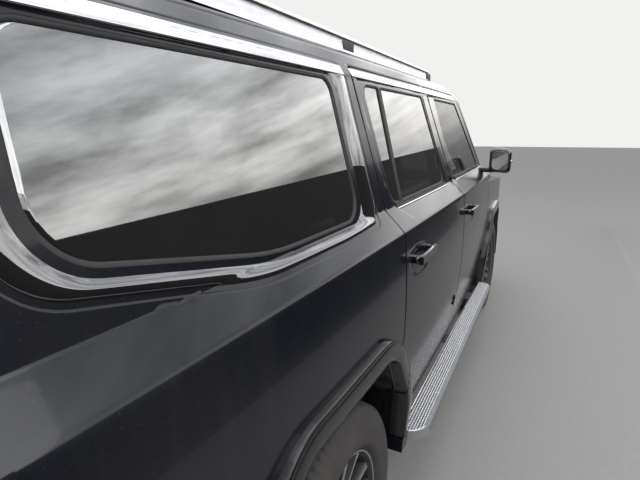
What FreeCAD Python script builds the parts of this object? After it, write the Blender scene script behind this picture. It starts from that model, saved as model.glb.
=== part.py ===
import FreeCAD
import Part
import math
import os

# A full-size sport utility vehicle as separate pieces: body panels, doors, lids, glass,
# frame, axles, wheels and cabin. Millimetres, +X forward, +Y to the car's left, +Z up,
# with the origin on the ground under the middle of its length.

V = FreeCAD.Vector
UP = V(0, 0, 1)
ACROSS = V(0, 1, 0)
FORWARD = V(1, 0, 0)

SIZES = (
    ("overall_length", 5453),
    ("wheelbase", 3124),
    ("front_overhang", 950),
    ("wheel_track", 1744),
    ("plan_radius", 45000),
    ("sill_half_width", 972),
    ("sill_height", 440),
    ("widest_half_width", 1045),
    ("widest_height", 860),
    ("shoulder_half_width", 1022),
    ("shoulder_height", 1255),
    ("belt_half_width", 952),
    ("belt_height", 1330),
    ("cant_half_width", 848),
    ("cant_height", 1762),
    ("roof_edge_half_width", 760),
    ("roof_edge_height", 1862),
    ("roof_peak_height", 1906),
    ("underside_height", 388),
    ("apron_height", 330),
    ("roof_ditch_half_width", 640),
    ("side_wall", 110),
    ("belt_wall", 62),
    ("pillar_wall", 50),
    ("roof_wall", 47),
    ("skin_low", 40),
    ("skin_high", 25),
    ("shut_gap", 7),
    ("inner_gap", 13),
    ("inner_step", 30),
    ("edge_lean", 0.22),
    ("door_bottom_height", 455),
    ("door_top_height", 1790),
    ("front_cut_x", 1195),
    ("corner_cut_height", 1335),
    ("corner_cut_top_x", 643),
    ("middle_cut_x", 125),
    ("middle_cut_top_x", -85),
    ("rear_cut_x", -900),
    ("rear_cut_top_x", -965),
    ("glass_thickness", 5),
    ("glass_inset", 4),
    ("glass_rebate", 12),
    ("glass_fit", 0.3),
    ("glass_bottom_height", 1338),
    ("glass_top_height", 1742),
    ("arch_half_width", 474),
    ("arch_height", 496),
    ("flare_width", 60),
    ("flare_proud", 16.5),
    ("flare_low_half_width", 1030),
    ("tyre_radius", 406),
    ("tyre_width", 275),
    ("rim_radius", 267),
    ("rim_width", 229),
    ("hub_radius", 82),
    ("spindle_radius", 32),
    ("running_fit", 0.3),
    ("spoke_pairs", 7),
    ("kingpin_offset", 72),
    ("hinge_set_back", 60),
    ("hinge_depth", 32),
    ("hinge_pin_radius", 6),
    ("hinge_half_height", 28),
    ("lower_hinge_height", 700),
    ("upper_hinge_height", 1090),
    ("windscreen_base_x", 1580),
    ("windscreen_base_height", 1225),
    ("windscreen_slope", 39.5),
    ("windscreen_radius", 3200),
    ("windscreen_length", 985),
    ("windscreen_base_half_width", 800),
    ("windscreen_top_half_width", 655),
    ("screen_thickness", 6),
    ("hood_rear_x", 1500),
    ("hood_front_x", 2600),
    ("hood_rear_height", 1238),
    ("hood_front_height", 1150),
    ("hood_half_width", 880),
    ("hood_crown", 62),
    ("fender_skin", 22),
    ("nose_corner_half_width", 1010),
    ("gate_front_x", -2366),
    ("gate_bottom_height", 655),
    ("gate_wall", 100),
    ("board_height", 424),
    ("board_half_width", 1086),
    ("rail_height", 1921),
    ("engine_length", 720),
    ("engine_width", 520),
    ("engine_height", 455),
    ("radiator_thickness", 60),
    ("radiator_width", 840),
    ("radiator_height", 440),
    ("tank_length", 879.4),
    ("tank_width", 340),
    ("tank_height", 200),
)


def make_sheet(doc):
    """The driving dimensions, one row each, with the name as the alias."""
    sheet = doc.addObject("Spreadsheet::Sheet", "Sizes")
    for row, (name, value) in enumerate(SIZES, start=1):
        sheet.set("A%d" % row, name)
        sheet.set("B%d" % row, str(value))
        sheet.setAlias("B%d" % row, name)
    doc.recompute()
    return sheet


class Sizes:
    """The sheet's values as attributes."""

    def __init__(self, sheet):
        for name, _ in SIZES:
            setattr(self, name, float(sheet.get(name)))


doc = FreeCAD.newDocument("suv")
sheet = make_sheet(doc)
s = Sizes(sheet)

NOSE = s.overall_length / 2
TAIL = -s.overall_length / 2
FRONT_AXLE = NOSE - s.front_overhang
REAR_AXLE = FRONT_AXLE - s.wheelbase
WHEEL_Y = s.wheel_track / 2
KINGPIN_Y = WHEEL_Y - s.kingpin_offset
PLAN_PIVOT = V(0, s.widest_half_width - s.plan_radius, 0)
PLAN_REACH = math.degrees(math.asin(1.08 * NOSE / s.plan_radius))
FAR = 4000


def in_side(y):
    return lambda p: V(p.x, y, p.y)


def in_section(x):
    return lambda p: V(x, p.x, p.y)


def in_plan(z):
    return lambda p: V(p.x, p.y, z)


def rounded_wire(points, place):
    """Closed wire through (u, v, radius) corners, each rounded by its radius."""
    corners = [V(u, v, 0) for u, v, _ in points]
    count = len(corners)
    trims = []
    for i, (_, _, radius) in enumerate(points):
        corner = corners[i]
        back = (corners[i - 1] - corner).normalize()
        ahead = (corners[(i + 1) % count] - corner).normalize()
        if radius:
            half = back.getAngle(ahead) / 2
            trim = radius / math.tan(half)
            middle = (back + ahead).normalize() * (radius / math.sin(half) - radius)
            trims.append((corner + back * trim, corner + middle, corner + ahead * trim))
        else:
            trims.append((corner, None, corner))
    edges = []
    for i, (enter, middle, leave) in enumerate(trims):
        if middle is not None:
            edges.append(Part.Arc(place(enter), place(middle), place(leave)).toShape())
        following = trims[(i + 1) % count][0]
        if (following - leave).Length > 1e-6:
            edges.append(Part.makeLine(place(leave), place(following)))
    return Part.Wire(edges)


def grown(points, amount):
    """The outline with each side moved outward by amount, or inward if it is negative."""
    count = len(points)
    area = sum(points[i - 1][0] * points[i][1] - points[i][0] * points[i - 1][1] for i in range(count))
    turn = 1 if area > 0 else -1
    lines = []
    for i in range(count):
        u0, v0, _ = points[i]
        u1, v1, _ = points[(i + 1) % count]
        length = math.hypot(u1 - u0, v1 - v0)
        du, dv = (u1 - u0) / length, (v1 - v0) / length
        lines.append((u0 + turn * dv * amount, v0 - turn * du * amount, du, dv))
    result = []
    for i, (_, _, radius) in enumerate(points):
        a0, b0, da, db = lines[i - 1]
        c0, d0, dc, dd = lines[i]
        t = ((c0 - a0) * dd - (d0 - b0) * dc) / (da * dd - db * dc)
        result.append((a0 + da * t, b0 + db * t, max(radius + amount, 1.0) if radius else 0))
    return result


def side_prism(points, low, high, lean=0.0):
    """An outline seen from the side, run across the car.

    With a lean it is true at the widest plane and slides forward going inboard.
    """
    face = Part.Face(rounded_wire(points, in_side(high)))
    face.translate(V(lean * (s.widest_half_width - high), 0, 0))
    return face.extrude(V(lean * (high - low), low - high, 0))


def section_prism(points, low, high):
    return Part.Face(rounded_wire(points, in_section(low))).extrude(FORWARD * (high - low))


def plan_prism(points, low, high):
    return Part.Face(rounded_wire(points, in_plan(low))).extrude(UP * (high - low))


def box(low, high):
    """Box between two corners."""
    return Part.makeBox(high[0] - low[0], high[1] - low[1], high[2] - low[2], V(*low))


def rod(start, end, radius):
    """Round bar between two points."""
    axis = V(*end) - V(*start)
    return Part.makeCylinder(radius, axis.Length, V(*start), axis)


def mirrored(shape):
    return shape.mirror(V(0, 0, 0), ACROSS)


def both_sides(shape):
    """The left piece and its mirror image, as one shape of separate solids."""
    return Part.makeCompound([shape, mirrored(shape)])


def whole(half):
    """A piece that crosses the middle, from its left half."""
    return half.fuse(mirrored(half)).removeSplitter()


def fused(shapes):
    return shapes[0].multiFuse(shapes[1:]) if len(shapes) > 1 else shapes[0]


def swung(points):
    """A section turned about the far pivot that gives the body sides their plan curve."""
    face = Part.Face(rounded_wire(points, in_section(0)))
    face.rotate(PLAN_PIVOT, UP, -PLAN_REACH)
    return face.revolve(PLAN_PIVOT, UP, 2 * PLAN_REACH)


def plan_recede(x):
    """How far the plan curve has pulled the body side in at x."""
    return s.plan_radius - math.sqrt(s.plan_radius ** 2 - x ** 2)


def body_section(low, belt, high, roof, bottom):
    """Half section of the body, with each stretch set in by its own depth."""
    crown_radius = 11200
    far_y = -s.roof_edge_half_width
    foot = s.sill_half_width - (s.sill_height - bottom) * 0.5
    # Columns: half width, height, corner radius.
    return [
        (far_y, bottom, 0),
        (foot - low, bottom, 0),
        (s.sill_half_width - low, s.sill_height, 60),
        (s.widest_half_width - low, s.widest_height, 2500),
        (s.shoulder_half_width - low, s.shoulder_height - 0.2 * low, 30),
        (s.belt_half_width - belt, s.belt_height, 12),
        (s.cant_half_width - high, s.cant_height - 0.2 * high, 70),
        (s.roof_edge_half_width - 0.75 * high, s.roof_edge_height - roof, 100),
        (0, s.roof_peak_height - roof, crown_radius),
        (far_y, s.roof_edge_height - roof, 0),
    ]


def body_depth(depth_low, depth_high):
    """The body form set in by one depth below the belt and another above it."""
    return swung(body_section(depth_low, depth_high, depth_high, depth_high, s.underside_height))


def skin_y(z):
    """Half width of the outer skin at a height, without its plan curve."""
    rows = [(s.sill_half_width, s.sill_height), (s.widest_half_width, s.widest_height),
            (s.shoulder_half_width, s.shoulder_height), (s.belt_half_width, s.belt_height),
            (s.cant_half_width, s.cant_height), (s.roof_edge_half_width, s.roof_edge_height)]
    for (y0, z0), (y1, z1) in zip(rows, rows[1:]):
        if z <= z1:
            return y0 + (y1 - y0) * (z - z0) / (z1 - z0)
    return rows[-1][0]


def at_reference(points):
    """Door outline given where it shows on the skin, moved out to the widest plane."""
    return [(x - s.edge_lean * (s.widest_half_width - skin_y(z)), z, r) for x, z, r in points]


# Outlines seen from the side. Columns: x, height, corner radius.
FRONT_DOOR = [
    (s.front_cut_x, s.door_bottom_height, 60),
    (s.front_cut_x, s.widest_height, 0),
    (s.front_cut_x, s.corner_cut_height, 60),
    (s.corner_cut_top_x, s.door_top_height, 60),
    (s.middle_cut_top_x, s.door_top_height, 20),
    (s.middle_cut_x, s.shoulder_height, 150),
    (s.middle_cut_x, s.widest_height, 0),
    (s.middle_cut_x, s.door_bottom_height, 30),
]
REAR_DOOR = [
    (s.middle_cut_x - s.shut_gap, s.door_bottom_height, 30),
    (s.middle_cut_x - s.shut_gap, s.widest_height, 0),
    (s.middle_cut_x - s.shut_gap, s.shoulder_height, 150),
    (s.middle_cut_top_x - s.shut_gap, s.door_top_height, 20),
    (s.rear_cut_top_x, s.door_top_height, 40),
    (s.rear_cut_x, s.shoulder_height, 150),
    (s.rear_cut_x, s.widest_height, 0),
    (s.rear_cut_x, s.door_bottom_height, 30),
]
FRONT_DOOR_GLASS = [
    (1085, s.glass_bottom_height, 25),
    (600, s.glass_top_height, 45),
    (25, s.glass_top_height, 25),
    (182, s.glass_bottom_height, 35),
]
REAR_DOOR_GLASS = [
    (-28, s.glass_bottom_height, 50),
    (-188, s.glass_top_height, 30),
    (-895, s.glass_top_height, 40),
    (-832, s.glass_bottom_height, 60),
]
QUARTER_GLASS = [
    (-1105, s.glass_bottom_height, 80),
    (-1120, s.glass_top_height, 45),
    (-2015, s.glass_top_height, 60),
    (-2032, 1432, 110),
    (-1560, s.glass_bottom_height, 900),
]


def arch_outline(wheel_x, extra=0.0):
    """Wheel opening: a squared arch that runs down past the sill."""
    top = s.tyre_radius + s.arch_height
    knee = s.tyre_radius + 230
    points = [
        (wheel_x - s.arch_half_width, 100, 0),
        (wheel_x - s.arch_half_width, knee, 260),
        (wheel_x - 285, top, 170),
        (wheel_x + 285, top, 170),
        (wheel_x + s.arch_half_width, knee, 260),
        (wheel_x + s.arch_half_width, 100, 0),
    ]
    return grown(points, extra) if extra else points


def wheel_opening(wheel_x, extra=0.0, inner=715.0):
    return side_prism(arch_outline(wheel_x, extra), inner, 1300)


def arch_flare(wheel_x, inside):
    """Raised band around a wheel opening, out from an inner form."""
    band = FLARE_FORM.cut(inside)
    ring = wheel_opening(wheel_x, s.flare_width, 900).cut(wheel_opening(wheel_x, 0, 880))
    keep = box((wheel_x - 700, 800, s.underside_height), (wheel_x + 700, 1300, 1100))
    return band.common(ring).common(keep)


def screen_drum(inset):
    """Cylinder whose front is the windscreen's outer face, set in by inset."""
    slope = math.radians(s.windscreen_slope)
    along = V(-math.cos(slope), 0, math.sin(slope))
    outward = V(math.sin(slope), 0, math.cos(slope))
    base = V(s.windscreen_base_x, 0, s.windscreen_base_height)
    centre = base - outward * s.windscreen_radius
    start = centre - along * FAR
    return Part.makeCylinder(s.windscreen_radius - inset, 3 * FAR, start, along)


def screen_prism(points, low, high):
    """An outline in the windscreen's plane, run along its normal."""
    slope = math.radians(s.windscreen_slope)
    along = V(-math.cos(slope), 0, math.sin(slope))
    outward = V(math.sin(slope), 0, math.cos(slope))
    base = V(s.windscreen_base_x, 0, s.windscreen_base_height)
    face = Part.Face(rounded_wire(points, lambda p: base + along * p.x + ACROSS * p.y + outward * low))
    return face.extrude(outward * (high - low))


def windscreen_outline(extra=0.0):
    """Columns: distance up the slope, half width, corner radius."""
    points = [
        (12, -s.windscreen_base_half_width, 40),
        (12, s.windscreen_base_half_width, 40),
        (s.windscreen_length, s.windscreen_top_half_width, 60),
        (s.windscreen_length, -s.windscreen_top_half_width, 60),
    ]
    return grown(points, extra) if extra else points


def tail_form(inset):
    """The upper body's rear face with its rounded corners, leaning in above the belt."""
    wires = []
    # Columns: height, rear face x, corner half width.
    for z, x, corner in ((100, -2665, 990), (1200, -2650, 985), (2000, -2400, 720)):
        x += inset
        corner -= inset
        points = [
            (x, -corner * 0.8, 0), (x, corner * 0.78, 500), (x + 65, corner, 110),
            (x + 1100, corner + 120, 0), (FAR, corner + 500, 0), (FAR, -corner, 0)]
        wires.append(rounded_wire(points, in_plan(z)))
    return Part.makeLoft(wires, True, True)


def nose_form(inset):
    """The front's plan, run straight up."""
    x = NOSE - inset
    y = s.nose_corner_half_width - inset
    points = [
        (-500, -200, 0), (x, -200, 0), (x, 120, 0), (x - 45, y * 0.68, 900),
        (x - 235, y, 150), (x - 1200, y + 160, 0), (-500, y + 200, 0)]
    return plan_prism(points, 100, 1500)


def hood_form(drop):
    """Everything below the hood's crowned surface, lowered by drop."""
    run = 2 * FAR
    slope = (s.hood_front_height - s.hood_rear_height) / (s.hood_front_x - s.hood_rear_x)
    rear_x = -500
    rear_z = s.hood_rear_height + slope * (rear_x - s.hood_rear_x) - drop
    reach = 1200
    edge = rear_z - s.hood_crown
    points = [(-reach, -FAR, 0), (reach, -FAR, 0), (reach, edge, 0), (0, rear_z + 30, 9000), (-reach, edge, 0)]
    face = Part.Face(rounded_wire(points, in_section(rear_x)))
    return face.extrude(V(run, 0, slope * run))


def flare_section():
    """The flares' own section, which stays wide down to the sill."""
    top = s.shoulder_height - 100
    return [
        (0, s.underside_height, 0),
        (s.flare_low_half_width, s.underside_height, 0),
        (s.widest_half_width + s.flare_proud, s.widest_height, 1200),
        (skin_y(top) + s.flare_proud, top, 0),
        (0, top, 0),
    ]


# Body layers of the left half, shared by the side pieces.
FLARE_FORM = swung(flare_section())
OUTER = body_depth(0, 0)
SKIN = body_depth(s.skin_low, s.skin_high)
SEAL = body_depth(s.skin_low + 6, s.skin_high + 6)
INNER = swung(body_section(s.side_wall, s.belt_wall, s.pillar_wall, s.roof_wall, 120))
WALL = OUTER.common(tail_form(0)).cut(INNER.common(tail_form(s.gate_wall)).common(screen_drum(38)))
WALL = WALL.common(screen_drum(0))


def hinge_axis(front_x):
    """Where a door's hinge axis stands, from the door's front cut."""
    x = front_x - s.hinge_set_back
    return x, s.widest_half_width - plan_recede(front_x) - s.hinge_depth


def hinge_post(x, y, radius, low, high):
    return Part.makeCylinder(radius, high - low, V(x, y, low), UP)


def door_panel(outline, inner_outline, front_x):
    """A door as thick as the wall: an outer skin, a smaller inner part and its hinge notches."""
    full = side_prism(outline, 600, s.widest_half_width + 60, s.edge_lean)
    small = side_prism(inner_outline, 600, s.widest_half_width + 60, s.edge_lean)
    outer = OUTER.cut(SKIN).common(full)
    inner = SKIN.cut(INNER).common(small)
    door = outer.fuse(inner)
    x, y = hinge_axis(front_x)
    lip = box((x, y, 0), (x + 120, y + 120, 1500)).cut(
        hinge_post(x, y, s.hinge_set_back + 2.4, 0, 1500))
    door = door.cut(lip)
    corner = box((x, y - 160, 0), (x + 160, y + 0.5, 1500)).cut(
        hinge_post(x, y, s.hinge_set_back + 19, 0, 1500))
    door = door.cut(corner)
    for z in (s.lower_hinge_height, s.upper_hinge_height):
        half = s.hinge_half_height
        notch = box((x - 16, 600, z - half), (x + 200, y + 14, z + half))
        bore = hinge_post(x, y, s.hinge_pin_radius + s.running_fit, z - half - 14, z + half + 14)
        door = door.cut(notch).cut(bore)
    return door


def hinge_arms(front_x, reach_length):
    """Swan-neck arms on the pillar, each with its pin."""
    x, y = hinge_axis(front_x)
    arms = []
    for z in (s.lower_hinge_height, s.upper_hinge_height):
        half = s.hinge_half_height
        pin = hinge_post(x, y, s.hinge_pin_radius, z - half - 13, z + half + 13)
        neck = box((x - 7, y - 98, z - 12), (x + 7, y, z + 12))
        reach = box((x - 7, y - 98, z - 12), (x + reach_length, y - 86, z + 12))
        boss = hinge_post(x, y, 11, z - 12, z + 12)
        arms.append(fused([pin, neck, reach, boss]))
    return arms


def tumblehome_sheet(outer_depth, inner_depth):
    """The straight stretch of the side from belt to cant rail, between two depths."""
    ends = ((s.belt_half_width, s.belt_height), (s.cant_half_width, s.cant_height))
    points = [(y - outer_depth, z, 0) for y, z in ends]
    points += [(y - inner_depth, z, 0) for y, z in reversed(ends)]
    return swung(points)


def window_opening(outline):
    """Aperture through the wall and the rebate its glass sits in."""
    aperture = side_prism(grown(outline, -s.glass_rebate), 500, 1200)
    rebate = side_prism(grown(outline, s.glass_fit), 500, 1200)
    seat = s.glass_inset + s.glass_thickness + s.glass_fit
    return aperture.fuse(rebate.common(tumblehome_sheet(-60, seat)))


def side_glass(outline):
    sheet_form = tumblehome_sheet(s.glass_inset, s.glass_inset + s.glass_thickness)
    return sheet_form.common(side_prism(outline, 500, 1200))


def door_opening(outline, inner_outline, front_x):
    """What the body loses for a door: a pocket for the skin, a way through and room for the swing."""
    pocket = side_prism(grown(outline, s.shut_gap), 600, 1200, s.edge_lean).cut(SEAL)
    way = side_prism(grown(inner_outline, s.inner_gap), 600, 1200, s.edge_lean)
    x, y = hinge_axis(front_x)
    sweep = hinge_post(x, y, s.hinge_set_back + 26, 0, 1500).common(
        box((x - 200, y - 200, s.door_bottom_height - s.shut_gap), (x + 200, y - 6, s.belt_height)))
    return [pocket, way, sweep]


front_outline = at_reference(FRONT_DOOR)
rear_outline = at_reference(REAR_DOOR)
front_inner = grown(front_outline, -s.inner_step)
rear_inner = grown(rear_outline, -s.inner_step)
rear_front_x = s.middle_cut_x - s.shut_gap

NODES = {}


def add(name, shape):
    """One named piece of the document."""
    feature = doc.addObject("Part::Feature", name)
    feature.Label = name
    feature.Shape = shape
    NODES[name] = feature
    return feature


# Rear gate outline seen from behind. Columns: half width, height, corner radius.
GATE = [
    (-100, s.gate_bottom_height, 0), (815, s.gate_bottom_height, 50), (806, 1250, 200),
    (700, 1775, 60), (630, 1830, 0), (630, 2000, 0), (-100, 2000, 0)]
GATE_GLASS = [(-100, 1300, 0), (722, 1300, 70), (640, 1735, 60), (-100, 1735, 0)]
LAMP = [(-2900, 1118, 0), (-2900, 1236, 0), (-2150, 1236, 45), (-2190, 1118, 30)]


def gate_prism(extra):
    """The gate's zone, narrowing forward so that it swings out without rubbing."""
    rear = rounded_wire(grown(GATE, 24 + extra), in_section(-2800))
    front = rounded_wire(grown(GATE, -24 + extra), in_section(s.gate_front_x + extra))
    return Part.makeLoft([rear, front], True, True)


def body_side():
    """One body side: sill, pillars, cant rail, quarter panel and its part of the flare."""
    # Columns: x, height, corner radius.
    region = [
        (s.front_cut_x + 6, s.underside_height, 0),
        (s.front_cut_x + 6, s.door_bottom_height - 10, 0),
        (s.front_cut_x - 45, s.door_bottom_height - 10, 0),
        (s.front_cut_x - 45, s.windscreen_base_height, 0),
        (FAR, s.windscreen_base_height, 0), (FAR, 2100, 0), (-FAR, 2100, 0),
        (-FAR, s.gate_bottom_height, 0), (-1890, s.gate_bottom_height, 0),
        (-1890, s.underside_height, 0)]
    side = WALL.common(side_prism(region, s.roof_ditch_half_width, 1300))
    corner = WALL.common(box((-FAR, 400, s.gate_bottom_height), (s.gate_front_x, 1200, 2100)))
    post = fused([
        box((s.front_cut_x + 19, 700, s.underside_height),
            (s.front_cut_x + 72, 1200, s.windscreen_base_height)),
        box((s.front_cut_x - 30, 700, s.underside_height),
            (s.front_cut_x + 72, 1200, s.door_bottom_height - 8))])
    pillar = body_depth(s.fender_skin + 0.3, s.fender_skin + 0.3).cut(INNER).common(post).common(hood_form(30.3))
    side = fused([side, corner, pillar])
    for tool in door_opening(rear_outline, rear_inner, rear_front_x) + door_opening(
            front_outline, front_inner, s.front_cut_x):
        before = side.Volume
        side = side.cut(tool)
        if side.Volume > before - 1:
            raise RuntimeError("a door opening was not cut")
    x, y = hinge_axis(s.front_cut_x)
    side = side.cut(box((x - 25, 880, s.door_bottom_height - s.shut_gap), (x + 79, y - 6, 1368)))
    side = side.cut(window_opening(QUARTER_GLASS))
    side = side.cut(screen_prism(windscreen_outline(2), -400, 400))
    side = side.cut(gate_prism(s.shut_gap))
    side = side.cut(lamp_block(0.3))
    side = side.cut(wheel_opening(REAR_AXLE))
    gap = side_prism(grown(rear_outline, s.shut_gap), 600, s.widest_half_width + 60, s.edge_lean)
    side = side.fuse(arch_flare(REAR_AXLE, SKIN).cut(gap))
    return fused([side] + hinge_arms(s.front_cut_x, 130) + hinge_arms(rear_front_x, 78))


def lamp_block(extra):
    """Tail lamp wrapped round the rear corner."""
    depth = 55 + extra
    skin = OUTER.common(tail_form(-extra)).cut(body_depth(depth, depth).common(tail_form(depth)))
    block = skin.common(side_prism(grown(LAMP, extra), 500, 1200))
    return block.cut(gate_prism(s.shut_gap - extra))


def handle(x):
    """Pull handle standing off the door skin on two feet."""
    y = skin_y(1150) - plan_recede(x)
    bar = box((x - 105, y + 24, 1135), (x + 105, y + 40, 1163))
    feet = [box((x + k - 14, y - 6, 1137), (x + k + 14, y + 25, 1161)) for k in (-88, 88)]
    return fused([bar] + feet).cut(OUTER)


side = body_side()
add("bodyside_left", side)
add("bodyside_right", mirrored(side))

door_front = door_panel(front_outline, front_inner, s.front_cut_x)
door_front = door_front.cut(window_opening(FRONT_DOOR_GLASS)).fuse(handle(300))
add("door_front_left", door_front)
add("door_front_right", mirrored(door_front))
door_rear = door_panel(rear_outline, rear_inner, rear_front_x).cut(wheel_opening(REAR_AXLE))
rear_zone = side_prism(rear_outline, 600, s.widest_half_width + 60, s.edge_lean)
door_rear = door_rear.fuse(arch_flare(REAR_AXLE, SKIN).common(rear_zone))
divider = box((-752, 500, 1300), (-724, 1200, 1800))
door_rear = door_rear.cut(window_opening(REAR_DOOR_GLASS).cut(divider)).fuse(handle(-730))
add("door_rear_left", door_rear)
add("door_rear_right", mirrored(door_rear))
front_glass = side_glass(FRONT_DOOR_GLASS)
rear_glass = side_glass(REAR_DOOR_GLASS).cut(box((-752.3, 500, 1300), (-723.7, 1200, 1800)))
add("door_glass_front_left", front_glass)
add("door_glass_front_right", mirrored(front_glass))
add("door_glass_rear_left", rear_glass)
add("door_glass_rear_right", mirrored(rear_glass))
add("quarter_windows", both_sides(side_glass(QUARTER_GLASS)))
add("tail_lamps", both_sides(lamp_block(0)))

roof = WALL.common(box((s.gate_front_x, 0, 1600), (FAR, s.roof_ditch_half_width, 2100)))
roof = roof.cut(screen_prism(windscreen_outline(2), -400, 400))
roof = roof.cut(gate_prism(s.shut_gap))
gate_hinge_x = s.gate_front_x - s.hinge_set_back
gate_hinge_z = 1855
GATE_HINGE_Y = 450
low = gate_hinge_z - 98
roof = fused([
    roof,
    rod((gate_hinge_x, GATE_HINGE_Y - 26, gate_hinge_z), (gate_hinge_x, GATE_HINGE_Y + 26, gate_hinge_z),
        s.hinge_pin_radius),
    box((gate_hinge_x - 7, GATE_HINGE_Y - 12, low), (gate_hinge_x + 7, GATE_HINGE_Y + 12, gate_hinge_z)),
    box((gate_hinge_x - 7, GATE_HINGE_Y - 12, low), (s.gate_front_x + 40, GATE_HINGE_Y + 12, low + 12)),
    box((s.gate_front_x + 20, GATE_HINGE_Y - 12, low), (s.gate_front_x + 40, GATE_HINGE_Y + 12, low + 90))])
add("roof_panel", whole(roof))
gate = WALL.common(gate_prism(0)).common(box((-FAR, 0, 0), (FAR, 1200, 2100)))
gate_lip = box((gate_hinge_x, -10, gate_hinge_z), (gate_hinge_x + 120, 1000, gate_hinge_z + 100)).cut(
    rod((gate_hinge_x, -20, gate_hinge_z), (gate_hinge_x, 1010, gate_hinge_z), s.hinge_set_back + 2.4))
gate = gate.cut(gate_lip)
gate = gate.cut(box((gate_hinge_x - 16, GATE_HINGE_Y - 20, low - 16),
                    (s.gate_front_x + 10, GATE_HINGE_Y + 20, gate_hinge_z + 12)))
gate = gate.cut(rod((gate_hinge_x, GATE_HINGE_Y - 27, gate_hinge_z),
                    (gate_hinge_x, GATE_HINGE_Y + 27, gate_hinge_z), s.hinge_pin_radius + s.running_fit))
aperture = section_prism(grown(GATE_GLASS, -s.glass_rebate), -2900, -2300)
rebate = section_prism(grown(GATE_GLASS, s.glass_fit), -2900, -2300).cut(
    tail_form(s.glass_inset + s.glass_thickness + s.glass_fit))
gate = gate.cut(aperture).cut(rebate)
add("liftgate", whole(gate))
gate_glass = tail_form(s.glass_inset).cut(tail_form(s.glass_inset + s.glass_thickness)).common(
    section_prism(GATE_GLASS, -2900, -2300)).common(box((-FAR, 0, 0), (FAR, 1200, 2100)))
add("liftgate_glass", whole(gate_glass))
screen = screen_drum(2).cut(screen_drum(2 + s.screen_thickness)).common(
    screen_prism(windscreen_outline(), -300, 100))
add("windscreen", screen)

def clip_inside(depth):
    return swung(body_section(depth, depth, depth, depth, 200))


CLIP = swung(body_section(0, 0, 0, 0, s.apron_height)).common(hood_form(0)).common(nose_form(0)).cut(
    clip_inside(s.fender_skin).common(hood_form(30)).common(nose_form(28)))
HOOD = [
    (s.hood_rear_x + 145, -100, 0), (s.hood_rear_x + 145, 150, 700), (s.hood_rear_x, s.hood_half_width, 25),
    (2430, s.hood_half_width, 140), (s.hood_front_x, 560, 260), (s.hood_front_x + 25, -100, 0)]
hood = CLIP.common(plan_prism(HOOD, 1060, 1400)).common(box((0, 0, 0), (FAR, 1200, 1400)))
HOOD_HINGE_X = s.hood_rear_x - 10
HOOD_HINGE_Z = 1180
HOOD_HINGE_Y = 845
for y in (HOOD_HINGE_Y - 23, HOOD_HINGE_Y + 9):
    hood = hood.fuse(box((HOOD_HINGE_X - 8, y, HOOD_HINGE_Z - 8), (HOOD_HINGE_X + 80, y + 14, HOOD_HINGE_Z + 8)))
hood = hood.cut(rod((HOOD_HINGE_X, HOOD_HINGE_Y - 30, HOOD_HINGE_Z), (HOOD_HINGE_X, HOOD_HINGE_Y + 30, HOOD_HINGE_Z),
                    s.hinge_pin_radius + s.running_fit))
hood_post = fused([
    rod((HOOD_HINGE_X, HOOD_HINGE_Y - 23, HOOD_HINGE_Z), (HOOD_HINGE_X, HOOD_HINGE_Y + 23, HOOD_HINGE_Z),
        s.hinge_pin_radius),
    box((HOOD_HINGE_X - 8, HOOD_HINGE_Y - 7, 1100), (HOOD_HINGE_X + 8, HOOD_HINGE_Y + 7, HOOD_HINGE_Z + 6))])
add("hood", whole(hood))
FENDER = [
    (s.front_cut_x + 6, s.underside_height, 0), (2318, s.underside_height, 0), (2318, 775, 0),
    (2400, 775, 0), (2400, 1400, 0), (s.front_cut_x + 6, 1400, 0)]
fender = CLIP.common(side_prism(FENDER, s.hood_half_width + s.shut_gap, 1300))
fender = fender.cut(wheel_opening(FRONT_AXLE)).fuse(arch_flare(FRONT_AXLE, clip_inside(s.fender_skin)))
fender = fender.cut(box((s.front_cut_x, 0, s.windscreen_base_height), (FAR, 1200, 1400)))
fender = fender.cut(side_prism(grown(front_outline, s.shut_gap), 600, s.widest_half_width + 60, s.edge_lean))
add("fenders", both_sides(fender))
GRILLE_Y = 640
GRILLE_LOW = 800
GRILLE_HIGH = 1085
front_box = box((2322, 0, 0), (FAR, 1200, 1400))
bumper = CLIP.common(front_box).common(fused([
    box((2322, 0, s.apron_height), (FAR, 1200, 772)),
    box((2404, 0, 700), (FAR, 1200, GRILLE_LOW - 5)),
    box((2404, GRILLE_Y + 5, 700), (FAR, 1200, 896))]))
bumper = bumper.cut(box((2322, -10, 430), (FAR, 560, 560)))
bumper = bumper.fuse(box((NOSE - 180 + 0.3, 440, 568), (NOSE - 20, 500, 598)))
add("front_bumper", whole(bumper))
nose_panel = CLIP.common(box((2404, 0, GRILLE_HIGH + 5), (FAR, 1200, 1400))).cut(
    plan_prism(grown(HOOD, s.shut_gap), 1000, 1400))
nose_panel = fused([
    nose_panel, box((2440, 80, 1010.6), (2500, 120, 1050)), box((2440, 80, 1035), (2680, 120, 1050)),
    box((2650, 80, 1035), (2680, 120, 1120))])
add("nose_panel", whole(nose_panel))
lamp = OUTER.common(nose_form(5)).cut(nose_form(110)).common(
    box((2404, GRILLE_Y + 0.3, 902), (FAR, 1200, GRILLE_HIGH)))
add("headlamps", both_sides(lamp))
slab = nose_form(6).cut(nose_form(40))
bars = []
frame_out = box((2404, 0, GRILLE_LOW - 4.7), (FAR, GRILLE_Y, GRILLE_HIGH + 4.7))
frame_in = box((2404, -10, GRILLE_LOW + 18), (FAR, GRILLE_Y - 18, GRILLE_HIGH - 18))
bars.append(slab.common(frame_out).cut(frame_in))
for k in range(4):
    z = GRILLE_LOW + 18 + (k + 0.62) * 54
    bars.append(slab.common(box((2404, 0, z), (FAR, GRILLE_Y - 10, z + 22))))
add("grille", whole(fused(bars)))
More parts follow.
